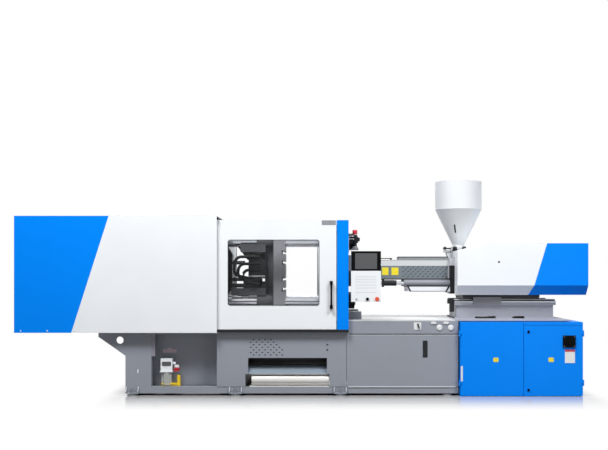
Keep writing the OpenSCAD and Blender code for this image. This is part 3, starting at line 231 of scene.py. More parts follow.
@dataclass(frozen=True)
class MachinedSteel(Finish):
    """Ground or turned steel: bright, with fine tool lines that stretch its highlights."""

    roughness: float = 0.28
    line_mm: float = 2.5
    along: Point = (1.0, 0.06, 0.06)
    drift: float = 0.08
    patch_mm: float = 60.0

    def shader(self, tree: Tree, place: Socket) -> Socket:
        """Builds bare steel with tool lines.

        Args:
            tree: The material's node tree.
            place: Object coordinates.

        Returns:
            The shader output.
        """
        scaled = add_node(tree, "ShaderNodeMapping", {"Vector": place, "Scale": self.along})
        inputs = {"Vector": scaled.outputs["Vector"], "Scale": 1000.0 / self.line_mm}
        lines = add_node(tree, "ShaderNodeTexNoise", inputs).outputs["Fac"]
        low, high = self.roughness - 0.06, self.roughness + 0.08
        inputs = {"From Min": 0.3, "From Max": 0.7, "To Min": low, "To Max": high, "Value": lines}
        gloss = add_node(tree, "ShaderNodeMapRange", inputs).outputs["Result"]
        inputs = {"Height": lines, "Strength": 0.05, "Distance": 0.5 * MM}
        relief = add_node(tree, "ShaderNodeBump", inputs).outputs["Normal"]
        inputs = {
            "Metallic": 1.0,
            "Base Color": tinted(tree, place, self.colour, self.drift, self.patch_mm),
            "Roughness": gloss,
            "Normal": relief,
        }
        return add_node(tree, "ShaderNodeBsdfPrincipled", inputs).outputs["BSDF"]


@dataclass(frozen=True)
class MouldedPlastic(Finish):
    """Injection moulded plastic with a fine spark-eroded grain."""

    roughness: float = 0.5
    specular: float = 0.5
    grain_mm: float = 1.2
    drift: float = 0.05
    patch_mm: float = 30.0

    def shader(self, tree: Tree, place: Socket) -> Socket:
        """Builds moulded plastic.

        Args:
            tree: The material's node tree.
            place: Object coordinates.

        Returns:
            The shader output.
        """
        inputs = {"Vector": place, "Scale": 1000.0 / self.grain_mm}
        grain = add_node(tree, "ShaderNodeTexVoronoi", inputs).outputs["Distance"]
        inputs = {"Height": grain, "Strength": 0.08, "Distance": 0.5 * MM}
        relief = add_node(tree, "ShaderNodeBump", inputs).outputs["Normal"]
        inputs = {
            "IOR": 1.5,
            "Roughness": self.roughness,
            "Specular IOR Level": self.specular,
            "Base Color": tinted(tree, place, self.colour, self.drift, self.patch_mm),
            "Normal": relief,
        }
        return add_node(tree, "ShaderNodeBsdfPrincipled", inputs).outputs["BSDF"]


@dataclass(frozen=True)
class ClearPane(Finish):
    """Clear sheet plastic of a machine window: mostly see-through, with a faint cool film."""

    see_through: float = 0.996
    roughness: float = 0.08
    film_mm: float = 166.7
    film: float = 0.004

    def shader(self, tree: Tree, place: Socket) -> Socket:
        """Builds a clear pane.

        Args:
            tree: The material's node tree.
            place: Object coordinates.

        Returns:
            The shader output.
        """
        clear = 1.0 - self.see_through
        high = clear + self.film
        inputs = {"Vector": place, "Scale": 1000.0 / self.film_mm}
        film = add_node(tree, "ShaderNodeTexNoise", inputs).outputs["Fac"]
        inputs = {"From Min": 0.3, "From Max": 0.7, "To Min": clear, "To Max": high, "Value": film}
        seen = add_node(tree, "ShaderNodeMapRange", inputs).outputs["Result"]
        inputs = {
            "Base Color": linear(self.colour),
            "IOR": 1.58,
            "Roughness": self.roughness,
            "Alpha": seen,
        }
        return add_node(tree, "ShaderNodeBsdfPrincipled", inputs).outputs["BSDF"]


@dataclass(frozen=True)
class TwoFinishes(Finish):
    """One solid with two finishes, split at a plane across the machine or in height."""

    first: Finish = field(default=None)
    second: Finish = field(default=None)
    axis: str = "Z"
    level: float = 0.0

    def shader(self, tree: Tree, place: Socket) -> Socket:
        """Builds both finishes and the step between them.

        Args:
            tree: The material's node tree.
            place: Object coordinates.

        Returns:
            The shader output.
        """
        axes = add_node(tree, "ShaderNodeSeparateXYZ", {"Vector": place}).outputs
        inputs = {0: axes[self.axis], 1: self.level}
        step = add_node(tree, "ShaderNodeMath", inputs, operation="GREATER_THAN").outputs[0]
        parts = [finish.shader(tree, place) for finish in (self.first, self.second)]
        inputs = {0: step, 1: parts[0], 2: parts[1]}
        return add_node(tree, "ShaderNodeMixShader", inputs).outputs["Shader"]


SAND_CAST = Coat.CASTING
PEELED = Coat.ORANGE_PEEL

# Powder coat, baked on sheet steel: an even colour and soft highlights.
WHITE_POWDER = Paint("white powder coat", "#ebeff3")
BLUE_POWDER = Paint("blue powder coat", "#0086f8", roughness=0.4, specular=0.08)
BLUE_SHADE = Paint("blue powder coat in the seam", "#0050a0", roughness=0.5, specular=0.08)
TRAY_WHITE = Paint("white tray paint", "#e2e5e9")
PANEL_GREY = Paint("light grey panel enamel", "#c3c6cb")
HOPPER_ENAMEL = Paint("white hopper enamel", "#e1e4e7", roughness=0.35)

# Enamel, sprayed on the welded bed and base: its orange peel breaks up long highlights.
BASE_ENAMEL = Paint("grey bed enamel", "#8d929c", PEELED, 0.45)
DECK_ENAMEL = Paint("pale deck enamel", "#cfd0d1", PEELED, 0.5)
BASE_LAVENDER = Paint("lavender grey base enamel", "#9ea1ac", PEELED)
POST_GREY = Paint("light grey post enamel", "#8c8a96", PEELED)

# Paint on sand-cast iron: the rough skin under it spreads the light, so it looks dull.
CASTING_PAINT = Paint("dark casting paint", "#515256", SAND_CAST, 0.55, 0.2)
PALE_CASTING = Paint("grey casting paint", "#7e8085", SAND_CAST, 0.5)
TOGGLE_PAINT = Paint("dark toggle paint", "#232428", SAND_CAST, specular=0.15)

# Enamel, sprayed on small parts and thin covers: smooth, with a dull gloss.
BLACK_ENAMEL = Paint("black enamel", "#17181b", roughness=0.45, specular=0.25)
DARK_ENAMEL = Paint("dark grey enamel", "#3c3d42", roughness=0.45)
HOOD_GREY = Paint("grey hood enamel", "#888c8f", roughness=0.45, specular=0.3)
# One grey hood enamel in lit and shaded copies: painted shade on the hood's sides, painted light on
# its sloped band.
HOOD_PAINTED_SHADE = Paint("hood enamel with painted shade", "#727b81", roughness=0.5, specular=0.2)
HOOD_PAINTED_LIGHT = Paint("hood enamel with painted light", "#a8abad", roughness=0.45, specular=0.3)
CYLINDER_GREY = Paint("cylinder enamel", "#7d7f88", roughness=0.45)
# Painted highlight for the bed front's folded edges, where they catch the light.
EDGE_HIGHLIGHT_GREY = Paint("painted edge highlight grey", "#cfd3d9", roughness=0.45)
YELLOW_ENAMEL = Paint("yellow strap enamel", "#e9c61c")

# Dull paint in and round the chute, with no clear highlights. Its depth is painted in: black painted
# shadow in the mouth's top, a floor painted light, and painted shade at its left end.
CHUTE_PAINTED_LIGHT = Paint("chute floor painted light", "#f2f1ee", roughness=0.5)
CHUTE_PAINTED_SHADOW = Paint("chute mouth painted shadow", "#08090a", roughness=0.6, specular=0.1)
CHUTE_PAINTED_SHADE = Paint("chute painted shade", "#2c2e33", roughness=0.5)
CHUTE_BLUE = Paint("grey blue chute paint", "#6f7c8a", roughness=0.5)

# Film and print on flat plates and rubber hose: thin, plain skins of colour.
# The roll's near-white paint is a painted reflection of bright steel.
YELLOW_FILM = Paint("yellow film", "#e4d32a", roughness=0.36)
FADED_PLATE = Paint("faded printed plate", "#c9b4bd", roughness=0.4)
HOSE_RUBBER = Paint("black hose rubber", "#141518", roughness=0.6, specular=0.2)
ROLL_PAINTED_REFLECTION = Paint("roll painted reflection", "#dedcd8", roughness=0.35)

# Metal, ground, turned, plated or anodised: tool lines stretch its highlights. Real ones are
# well under 1 mm apart, too fine to show in the render, so these are 2.5 to 6 mm apart.
GROUND_STEEL = MachinedSteel("ground steel", "#b9bcc2")
CHROMED_BAR = MachinedSteel("hard chromed bar", "#c9ccd2", 0.16, 4.0)
BAND_STEEL = MachinedSteel("stainless band", "#aeb1b4", 0.34, along=(1.0, 0.1, 0.1))
ZINC_SCREW = MachinedSteel("zinc plated screw", "#b4b6ba", 0.3, 3.0)
DARK_SCREW = MachinedSteel("blackened screw", "#4b4d52", 0.38, 3.0)
ANODISED_PLATE = MachinedSteel("anodised plate", "#989ba1", 0.36, 6.0)

# ABS and rubber, moulded: the grain of the mould dulls the dark ones, and glass and keys
# stay glossier. Real grain is about 0.1 mm, too fine to show, so it is drawn at 1.2 mm.
BLACK_PLASTIC = MouldedPlastic("black moulded plastic", "#060607", 0.6, 0.06)
WINDOW_RUBBER = MouldedPlastic("black window rubber", "#18191b", 0.6, 0.2)
WHITE_PLASTIC = MouldedPlastic("white moulded plastic", "#dfe1e3", 0.35)
DISPLAY_GLASS = MouldedPlastic("dark display glass", "#4c4e50", 0.18)
KEY_FILM = MouldedPlastic("key film", "#c4c9d0", 0.4)
RED_PLASTIC = MouldedPlastic("red button plastic", "#d8502f", 0.32)
RED_CAP = MouldedPlastic("red cap plastic", "#c22a3a", 0.34)

# Clear sheet and tub, extruded and blown: what is behind shows, with a slight sheen.
CLEAR_PANE = ClearPane("clear polycarbonate", "#eef4f7")
AMBER_TUB = ClearPane("oil tub plastic", "#cfd2cf", 0.6, 0.2)

# Solids that the photo shows in two or three finishes, split where one sheet or casting meets the
# next, and in the chute and the hood where painted shade and painted light begin.
HOPPER_FOOT = TwoFinishes("feed block enamels", "#222327", BLACK_ENAMEL, PANEL_GREY, "Z", 1.182)
RAIL_SIDE = TwoFinishes("guide rail side", "#e2e5e9", BLACK_ENAMEL, TRAY_WHITE, "Z", 0.857)
GUIDED_BASE = TwoFinishes("base and guide rails", "#9ea1ac", BASE_LAVENDER, RAIL_SIDE, "Z", 0.849)
CARRIAGE_PLATES = TwoFinishes("carriage plates", "#17181b", BLACK_ENAMEL, PANEL_GREY, "Z", 1.182)
CARRIAGE_FINISH = TwoFinishes(
    "carriage enamels", "#7e8085", PALE_CASTING, CARRIAGE_PLATES, "Z", 0.8845
)
BASE_FINISH = TwoFinishes("injection base enamels", "#9ea1ac", BLACK_ENAMEL, GUIDED_BASE, "X", 1.4)
# The chute's paint stands for light and shade: painted shade left of X -0.504 and painted light to
# its right below Z 0.196, a grey blue sheet up to Z 0.268, and black painted shadow above.
CHUTE_LOW_SHADE_AND_LIGHT = TwoFinishes("chute lining", "#f2f1ee", CHUTE_PAINTED_SHADE, CHUTE_PAINTED_LIGHT, "X", -0.504)
CHUTE_WALLS = TwoFinishes("chute walls", "#6f7c8a", CHUTE_LOW_SHADE_AND_LIGHT, CHUTE_BLUE, "Z", 0.196)
CHUTE_FINISH = TwoFinishes(
    "chute from floor to top", "#6f7c8a", CHUTE_WALLS, CHUTE_PAINTED_SHADOW, "Z", 0.268
)
# Painted shade on the hood's sides below Z 1.18, and painted light on its sloped band up to Z 1.2295.
HOOD_SIDES = TwoFinishes("hood side and band", "#888c8f", HOOD_PAINTED_SHADE, HOOD_PAINTED_LIGHT, "Z", 1.18)
HOOD_FINISH = TwoFinishes("hood and ridge", "#888c8f", HOOD_SIDES, HOOD_GREY, "Z", 1.2295)
ROD_COUPLING = TwoFinishes("rod coupling", "#17181b", BLACK_ENAMEL, CHROMED_BAR, "X", 0.8655)
ROD_FINISH = TwoFinishes("rod with its coupling", "#c9ccd2", CHROMED_BAR, ROD_COUPLING, "X", 0.724)
PLATEN_FINISH = TwoFinishes(
    "fixed platen enamels", "#515256", BASE_ENAMEL, CASTING_PAINT, "Z", 0.765
)
MOVING_FINISH = TwoFinishes(
    "moving platen paints", "#515256", CASTING_PAINT, PALE_CASTING, "X", -0.292
)
DECK_FINISH = TwoFinishes("deck enamels", "#cfd0d1", DECK_ENAMEL, BASE_LAVENDER, "X", 1.36)

DRESSED: dict[Finish, str] = {
    WHITE_POWDER: "clamp_guard front_door rear_door control_panel injection_cover lube_pump",
    BLUE_POWDER: "platen_arch clamp_guard_end cabinet_shell cabinet_door_left cabinet_door_right "
    "injection_cover_end",
    BASE_ENAMEL: "bed_frame grille_panel side_panels",
    TOGGLE_PAINT: "clamp_drive crosshead upper_rear_link lower_rear_link upper_front_link "
    "lower_front_link upper_drive_link lower_drive_link",
    BLACK_PLASTIC: "front_handle isolator_plate isolator_knob screen_frame mode_knob",
    BLACK_ENAMEL: "tie_bar_nuts door_rails",
    GROUND_STEEL: "clamp_ways ejector barrel hopper_gate screw",
    CHROMED_BAR: "tie_bars",
    BAND_STEEL: "heater_bands",
    CASTING_PAINT: "tailstock",
    PALE_CASTING: "levelling_feet injection_slide",
    CLEAR_PANE: "front_window rear_window",
    DARK_ENAMEL: "panel_arm",
    RED_PLASTIC: "stop_button",
    HOOD_GREY: "purge_guard",
    CYLINDER_GREY: "carriage_cylinders",
    TRAY_WHITE: "drip_tray",
    HOPPER_ENAMEL: "hopper_cone hopper_drum hopper_lid",
    AMBER_TUB: "lube_reservoir",
    DECK_FINISH: "deck",
    CHUTE_FINISH: "product_chute",
    PLATEN_FINISH: "fixed_platen",
    MOVING_FINISH: "moving_platen",
    BASE_FINISH: "injection_base",
    CARRIAGE_FINISH: "carriage",
    HOOD_FINISH: "barrel_guard",
    ROD_FINISH: "carriage_rods",
    HOPPER_FOOT: "hopper_foot",
}
NODE_FINISH = {node: finish for finish, nodes in DRESSED.items() for node in nodes.split()}


def rounded_loop(low: Spot, high: Spot, radius: float, grow: float = 0.0) -> list[Spot]:
    """A rectangle with round corners, as a closed loop of points.

    Args:
        low: Its lowest corner.
        high: Its highest corner.
        radius: Its corner radius.
        grow: How far the loop stands outside it.

    Returns:
        The points, in turn.
    """
    x0, z0 = low[0] + radius, low[1] + radius
    x1, z1 = high[0] - radius, high[1] - radius
    reach = radius + grow
    points = []
    for corner, (x, z) in enumerate(((x1, z1), (x0, z1), (x0, z0), (x1, z0))):
        for step in range(9):
            angle = math.radians(90.0 * corner + 90.0 * step / 8)
            points.append((x + reach * math.cos(angle), z + reach * math.sin(angle)))
    return points


def put(name: str, data: bpy.types.ID) -> bpy.types.Object:
    """Puts a new object in the scene.

    Args:
        name: Its name.
        data: Its mesh, lamp or camera.

    Returns:
        The object.
    """
    made = bpy.data.objects.new(name, data)
    bpy.context.scene.collection.objects.link(made)
    return made


def settle(
    mesh: bpy.types.Mesh, name: str, finish: Finish, body: str
) -> bpy.types.Object:
    """Makes a finished mesh an object of the machine.

    Args:
        mesh: The mesh, in place.
        name: The piece's name.
        finish: Its finish.
        body: The body that carries it.

    Returns:
        The object.
    """
    mesh.materials.clear()
    mesh.materials.append(finish.material())
    mesh.shade_smooth()
    mesh.set_sharp_from_angle(angle=SMOOTH_ANGLE)
    made = put(name, mesh)
    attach(made, body)
    LOG.info("%s rides on %s: %s", name, body, finish.name)
    return made


class Form:
    """A mesh put together from machined, turned and bent shapes, all in millimetres."""

    def __init__(self, x: float = 0.0, y: float = 0.0) -> None:
        """Starts with nothing, and takes all points from a place on the floor."""
        self.mesh = bmesh.new()
        self.origin = Vector((x, y, 0.0))

    def slab(self, low: Point, high: Point, chamfer: float = 0.0) -> Form:
        """Adds a block with broken edges.

        Args:
            low: Its lowest corner.
            high: Its highest corner.
            chamfer: How far its edges are rounded.

        Returns:
            This form.
        """
        middle = ((Vector(low) + Vector(high)) / 2 + self.origin) * MM
        size = (Vector(high) - Vector(low)) * MM
        place = Matrix.Translation(middle) @ Matrix.Diagonal((*size, 1.0))
        made = bmesh.ops.create_cube(self.mesh, size=1.0, matrix=place)
        if chamfer:
            edges = list({edge for vert in made["verts"] for edge in vert.link_edges})
            bmesh.ops.bevel(
                self.mesh, geom=edges, offset=chamfer * MM, segments=2, affect="EDGES"
            )
        return self

    def pair(self, low: Point, high: Point, chamfer: float = 0.0) -> Form:
        """Adds a block behind the machine's middle plane, and its mirror image before it."""
        self.slab((low[0], -high[1], low[2]), (high[0], -low[1], high[2]), chamfer)
        return self.slab(low, high, chamfer)

    def _points(self, points: Sequence[Point | Vector]) -> list[bmesh.types.BMVert]:
        """Adds vertices at points."""
        return [self.mesh.verts.new((Vector(point) + self.origin) * MM) for point in points]

    def _join(
        self, one: Sequence[bmesh.types.BMVert], two: Sequence[bmesh.types.BMVert]
    ) -> None:
        """Joins two closed loops, or a loop and a pole.

        Args:
            one: The first loop's vertices.
            two: The second loop's.
        """
        steps = max(len(one), len(two))
        for k in range(steps):
            n = (k + 1) % steps
            corners = [one[k % len(one)], one[n % len(one)], two[n % len(two)], two[k % len(two)]]
            self.mesh.faces.new(list(dict.fromkeys(corners)))

    def loft(self, loops: Sequence[Sequence[Point]], endless: bool = False) -> Form:
        """Adds a skin over closed loops, one after another.

        Args:
            loops: The loops' points; a loop of one point is a pole.
            endless: Whether the last loop joins the first, in place of two caps.

        Returns:
            This form.
        """
        rings = [self._points(loop) for loop in loops]
        for one, two in zip(rings, rings[1:]):
            self._join(one, two)
        if endless:
            self._join(rings[-1], rings[0])
            return self
        for ring in (rings[0], rings[-1]):
            if len(ring) > 1:
                self.mesh.faces.new(ring)
        return self

    def prism(self, outline: Sequence[Spot], start: float, end: float) -> Form:
        """Adds a shape drawn as x and z, and drawn out along Y."""
        return self.loft([[(x, y, z) for x, z in outline] for y in (start, end)])

    def turned(
        self, profile: Sequence[Spot], origin: Point, axis: Point = UP, steps: int = 24,
        endless: bool = False,
    ) -> Form:
        """Adds a turned shape.

        Args:
            profile: Radius and distance along the axis, from one end to the other.
            origin: Where the axis starts.
            axis: The direction of the axis.
            steps: How many facets go round.
            endless: Whether the profile closes on itself.

        Returns:
            This form.
        """
        turn = Vector(UP).rotation_difference(Vector(axis)).to_matrix()
        angles = [2 * math.pi * k / steps for k in range(steps)]
        loops = []
        for radius, along in profile:
            around = angles if radius else angles[:1]
            flat = [Vector((radius * math.cos(a), radius * math.sin(a), along)) for a in around]
            loops.append([turn @ point + Vector(origin) for point in flat])
        return self.loft(loops, endless)

    def frame(
        self, low: Spot, high: Spot, radius: float, band: float, front: float, back: float
    ) -> Form:
        """Adds an upright ring with round corners that faces the front or the back.

        Args:
            low: The hole's lowest corner, as x and z.
            high: The hole's highest corner.
            radius: The hole's corner radius.
            band: The width of the ring.
            front: The ring's y on one side.
            back: The ring's y on the other side.

        Returns:
            This form.
        """
        corners = ((0.0, front), (band, front), (band, back), (0.0, back))
        loops = [
            [(x, y, z) for x, z in rounded_loop(low, high, radius, grow)] for grow, y in corners
        ]
        return self.loft(loops, endless=True)

    def piece(self, name: str, finish: Finish, body: str, slot: str) -> bpy.types.Object:
        """Makes the object, dresses it and lets it ride on its body.

        Args:
            name: The piece's name.
            finish: Its finish.
            body: The body that carries it.
            slot: The record's material slot; not used.

        Returns:
            The object.
        """
        bmesh.ops.recalc_face_normals(self.mesh, faces=self.mesh.faces)
        made = bpy.data.meshes.new(name)
        self.mesh.to_mesh(made)
        self.mesh.free()
        return settle(made, name, finish, body)


@dataclass
class NodeShape:
    """A piece that a Geometry Nodes tree makes from points or a path."""

    name: str
    finish: Finish
    body: str
    slot: str
    places: Sequence[Point]

    def sizes(self) -> dict[str, float | int]:
        """The named sizes of the shape, in metres or as a count."""
        raise NotImplementedError

    def edges(self) -> list[tuple[int, int]]:
        """The pairs of places that a line joins."""
        return []

    def grown(self, tree: Tree, given: bpy.types.NodeOutputs) -> Socket:
        """Builds the geometry from the places.

        Args:
            tree: The Geometry Nodes tree.
            given: The tree's inputs: Places and the named sizes.

        Returns:
            The geometry.
        """
        raise NotImplementedError

    def build(self) -> bpy.types.Object:
        """Runs the tree on the places and bakes what it makes to one mesh.

        Returns:
            The object.
        """
        tree = bpy.data.node_groups.new(self.name, "GeometryNodeTree")
        face = tree.interface
        face.new_socket(name="Places", in_out="INPUT", socket_type="NodeSocketGeometry")
        sockets = {}
        for label, value in self.sizes().items():
            kind = "NodeSocketInt" if isinstance(value, int) else "NodeSocketFloat"
            sockets[label] = face.new_socket(name=label, in_out="INPUT", socket_type=kind)
        face.new_socket(name="Geometry", in_out="OUTPUT", socket_type="NodeSocketGeometry")
        grown = self.grown(tree, add_node(tree, "NodeGroupInput").outputs)
        real = add_node(tree, "GeometryNodeRealizeInstances", {"Geometry": grown}).outputs[0]
        inputs = {"Geometry": real, "Material": self.finish.material()}
        dressed = add_node(tree, "GeometryNodeSetMaterial", inputs).outputs[0]
        add_node(tree, "NodeGroupOutput", {"Geometry": dressed})
        dots = bpy.data.meshes.new(self.name + "_places")
        dots.from_pydata([Vector(place) * MM for place in self.places], self.edges(), [])
        carrier = put(self.name + "_carrier", dots)
        modifier = carrier.modifiers.new("shape", "NODES")
        modifier.node_group = tree
        for label, value in self.sizes().items():
            modifier[sockets[label].identifier] = value
        graph = bpy.context.evaluated_depsgraph_get()
        baked = bpy.data.meshes.new_from_object(carrier.evaluated_get(graph))
        carrier.modifiers.remove(modifier)
        bpy.data.objects.remove(carrier)
        baked.name = self.name
        return settle(baked, self.name, self.finish, self.body)


@dataclass
class Screws(NodeShape):
    """Cap screws on their washers, with the axis across the machine or upright."""

    head_r: float = 6.0
    head_h: float = 5.0
    facing: str = "front"
    washer_h: float = 1.6
    facets: int = 18

    def sizes(self) -> dict[str, float | int]:
        """The radius and height of the head and the washer, and the count of facets."""
        return {
            "Head radius": self.head_r * MM,
            "Head height": self.head_h * MM,
            "Washer radius": self.head_r * 1.5 * MM,
            "Washer height": self.washer_h * MM,
            "Facets": self.facets,
        }

    def grown(self, tree: Tree, given: bpy.types.NodeOutputs) -> Socket:
        """Sets a head with its socket, on a washer, at each place.

        Args:
            tree: The Geometry Nodes tree.
            given: The tree's inputs.

        Returns:
            The geometry.
        """
        sides = {"Vertices": given["Facets"]}
        inputs = {"Radius Bottom": 1.0, "Radius Top": 0.86, "Depth": 1.0} | sides
        head = add_node(tree, "GeometryNodeMeshCone", inputs).outputs["Mesh"]
        inputs = {"Vertices": 6, "Radius": 0.45, "Depth": 0.1}
        socket = add_node(tree, "GeometryNodeMeshCylinder", inputs).outputs["Mesh"]
        inputs = {"Geometry": socket, "Translation": (0.0, 0.0, 1.02)}
        raised = add_node(tree, "GeometryNodeTransform", inputs).outputs[0]
        both = add_node(tree, "GeometryNodeJoinGeometry", {0: [head, raised]}).outputs[0]
        radius, height = given["Head radius"], given["Head height"]
        scale = add_node(tree, "ShaderNodeCombineXYZ", {0: radius, 1: radius, 2: height})
        inputs = {"Depth": given["Washer height"], "Radius": given["Washer radius"]} | sides
        washer = add_node(tree, "GeometryNodeMeshCylinder", inputs).outputs["Mesh"]
        inputs = {"Geometry": both, "Scale": scale.outputs[0]}
        sized = add_node(tree, "GeometryNodeTransform", inputs).outputs[0]
        one = add_node(tree, "GeometryNodeJoinGeometry", {0: [sized, washer]}).outputs[0]
        tilt = {"front": 90.0, "back": -90.0, "top": 0.0}[self.facing]
        turn = (math.radians(tilt), 0.0, 0.0)
        inputs = {"Points": given["Places"], "Instance": one, "Rotation": turn}
        return add_node(tree, "GeometryNodeInstanceOnPoints", inputs).outputs[0]


@dataclass
class Keys(NodeShape):
    """Low keys of a membrane keyboard, in rows on an upright panel."""

    key_w: float = 15.0
    key_h: float = 5.0
    rise: float = 1.6

    def sizes(self) -> dict[str, float | int]:
        """The width, height and rise of a key."""
        return {
            "Key width": self.key_w * MM,
            "Key height": self.key_h * MM,
            "Key rise": self.rise * MM,
        }

    def grown(self, tree: Tree, given: bpy.types.NodeOutputs) -> Socket:
        """Sets a flat key with a smaller raised middle at each place.

        Args:
            tree: The Geometry Nodes tree.
            given: The tree's inputs.

        Returns:
            The geometry.
        """
        inputs = {"X": given["Key width"], "Y": given["Key rise"], "Z": given["Key height"]}
        size = add_node(tree, "ShaderNodeCombineXYZ", inputs).outputs[0]
        low = add_node(tree, "GeometryNodeMeshCube", {"Size": size}).outputs["Mesh"]
        inputs = {"Geometry": low, "Scale": (0.8, 1.7, 0.75)}
        raised = add_node(tree, "GeometryNodeTransform", inputs).outputs[0]
        one = add_node(tree, "GeometryNodeJoinGeometry", {0: [low, raised]}).outputs[0]
        inputs = {"Points": given["Places"], "Instance": one}
        return add_node(tree, "GeometryNodeInstanceOnPoints", inputs).outputs[0]


@dataclass
class Pipe(NodeShape):
    """A rigid pipe that follows a path."""

    radius: float = 6.0
    bend: float = 30.0
    facets: int = 14
    bend_steps: int = 6

    def sizes(self) -> dict[str, float | int]:
        """The radius and the steps of the pipe and of its bends."""
        return {
            "Pipe radius": self.radius * MM,
            "Bend radius": self.bend * MM,
            "Facets": self.facets,
            "Bend steps": self.bend_steps,
        }

    def edges(self) -> list[tuple[int, int]]:
        """Joins each place with the next."""
        return [(i, i + 1) for i in range(len(self.places) - 1)]

    def grown(self, tree: Tree, given: bpy.types.NodeOutputs) -> Socket:
        """Sweeps the pipe along its path.

        Args:
            tree: The Geometry Nodes tree.
            given: The tree's inputs.

        Returns:
            The geometry.
        """
        curve = add_node(tree, "GeometryNodeMeshToCurve", {"Mesh": given["Places"]}).outputs[0]
        inputs = {"Curve": curve, "Count": given["Bend steps"], "Radius": given["Bend radius"]}
        bent = add_node(tree, "GeometryNodeFilletCurve", inputs, mode="POLY").outputs[0]
        inputs = {"Resolution": given["Facets"], "Radius": given["Pipe radius"]}
        section = add_node(tree, "GeometryNodeCurvePrimitiveCircle", inputs).outputs[0]
        inputs = {"Curve": bent, "Profile Curve": section, "Fill Caps": True}
        return add_node(tree, "GeometryNodeCurveToMesh", inputs).outputs[0]


def screws_both_sides(
    name: str, finish: Finish, body: str, slot: str, spots: Sequence[Spot], face_y: float,
    head: Span,
) -> None:
    """Sets the same screws in the front and in the back.

    Args:
        name: The pieces' name, before the side.
        finish: Their finish.
        body: The body that carries them.
        slot: The record's material slot.
        spots: Their places, as x and z.
        face_y: How far each face is from the middle plane.
        head: The radius and height of a head.
    """
    for label, side in SIDES:
        places = [(x, side * face_y, z) for x, z in spots]
        Screws(f"{name}_{label}", finish, body, slot, places, *head, label).build()


@dataclass
class GuardFittings:
    """Small pieces on the clamp guard: the latch at its end, and the screws of its sheets."""

    start_x: float = -2620.0
    end_x: float = -795.0
    low_z: float = 573.0
    top_z: float = 1627.0
    half_w: float = 675.0
    screw_pitch: float = 240.0

    def build(self) -> None:
        """Makes the latch and the screws."""
        y = self.half_w
        latch = Form(self.end_x).pair(
            (-2, y - 22, self.top_z - 34), (14, y - 2, self.top_z - 14), 2.0
        )
        latch.piece("guard_latches", BLACK_PLASTIC, "bed", "black_plastic")
        row = [(self.start_x + 60 + self.screw_pitch * i, self.low_z + 18) for i in range(8)]
        screws_both_sides(
            "guard_screws", WHITE_POWDER, "bed", "white_paint", row, y + 0.4, (4.0, 2.4)
        )


@dataclass
class DoorFittings:
    """What dresses a sliding door: the window's gasket, a blank plate and screws."""

    label: str
    side: int
    face_y: float = 640.0
    window_x: Span = (-695.0, 125.0)
    window_z: Span = (823.0, 1410.0)
    corner: float = 18.0
    gasket: float = 4.0
    gasket_y: Span = (-24.0, 3.0)
    plate_h: float = 1.6

    def build(self) -> None:
        """Makes the pieces of one door."""
        body = "front_door" if self.side == FRONT else "rear_door"
        (left, right), (low, high) = self.window_x, self.window_z
        back, front = (self.side * (self.face_y + out) for out in self.gasket_y)
        rim = Form().frame(
            (left + 1, low + 1), (right - 1, high - 1), self.corner, self.gasket, front, back
        )
        rim.piece(f"{body}_gasket", WINDOW_RUBBER, body, "black_plastic")
        near, far = sorted(self.side * (self.face_y + out) for out in (0.0, self.plate_h))
        plate = Form().slab((150, near, 1546), (278, far, 1588), 0.5)
        plate.piece(f"{body}_plate", ANODISED_PLATE, body, "bright_steel")
        face = self.side * (self.face_y + 0.4)
        places = [
            (x, face, z) for x in (left - 70, right + 50) for z in (low - 160, high + 120)
        ]
        Screws(
            f"{body}_screws", WHITE_POWDER, body, "white_paint", places, 4.0, 2.4, self.label
        ).build()


@dataclass
class PlatenFittings:
    """Fittings on the fixed platen beside the arch: a red-capped filler, its body and pipes."""

    face_x: float = 395.0
    unit_x: float = 463.0
    unit_y: float = -352.0
    body_r: float = 30.0
    pipe_gap: float = 26.0

    def build(self) -> None:
        """Makes the filler, its cap and the pipes."""
        x, y, wall = self.unit_x, self.unit_y, self.face_x - self.unit_x
        profile = [(0, 0), (18, 0), (18, 30), (self.body_r, 34), (self.body_r, 92), (22, 96)]
        unit = Form(x, y).turned([*profile, (22, 108), (0, 108)], (0, 0, 1358))
        unit.slab((wall, -20, 1384), (-16, 20, 1448), 3)
        unit.slab((-20, -38, 1404), (44, -18, 1440), 3)
        unit.piece("filler_body", BLACK_ENAMEL, "bed", "black_plastic")
        profile = [(0, 0), (34, 0), (34, 8), (20, 34), (0, 34)]
        flare = Form(x, y).turned(profile, (0, 0, 1326))
        flare.slab((wall, -30, 1324), (30, 30, 1332), 2)
        flare.piece("filler_bracket", PALE_CASTING, "bed", "cast_grey")
        profile = [(0, 0), (21, 0), (23, 4), (23, 34), (19, 42), (0, 44)]
        cap = Form(x, y).turned(profile, (0, 0, 1470))
        cap.piece("filler_cap", RED_CAP, "bed", "red_plastic")
        near = self.face_x + 8
        for i in range(2):
            top, foot = 1452 - self.pipe_gap * i, 1330 - self.pipe_gap * i
            path = [(x, y, top), (x - 14, y - 40, top), (near, y - 40, top)]
            path += [(near, y - 40, foot), (near, y + 10, foot)]
            Pipe(f"filler_pipe_{i}", ZINC_SCREW, "bed", "bright_steel", path, 4.0, 10.0).build()


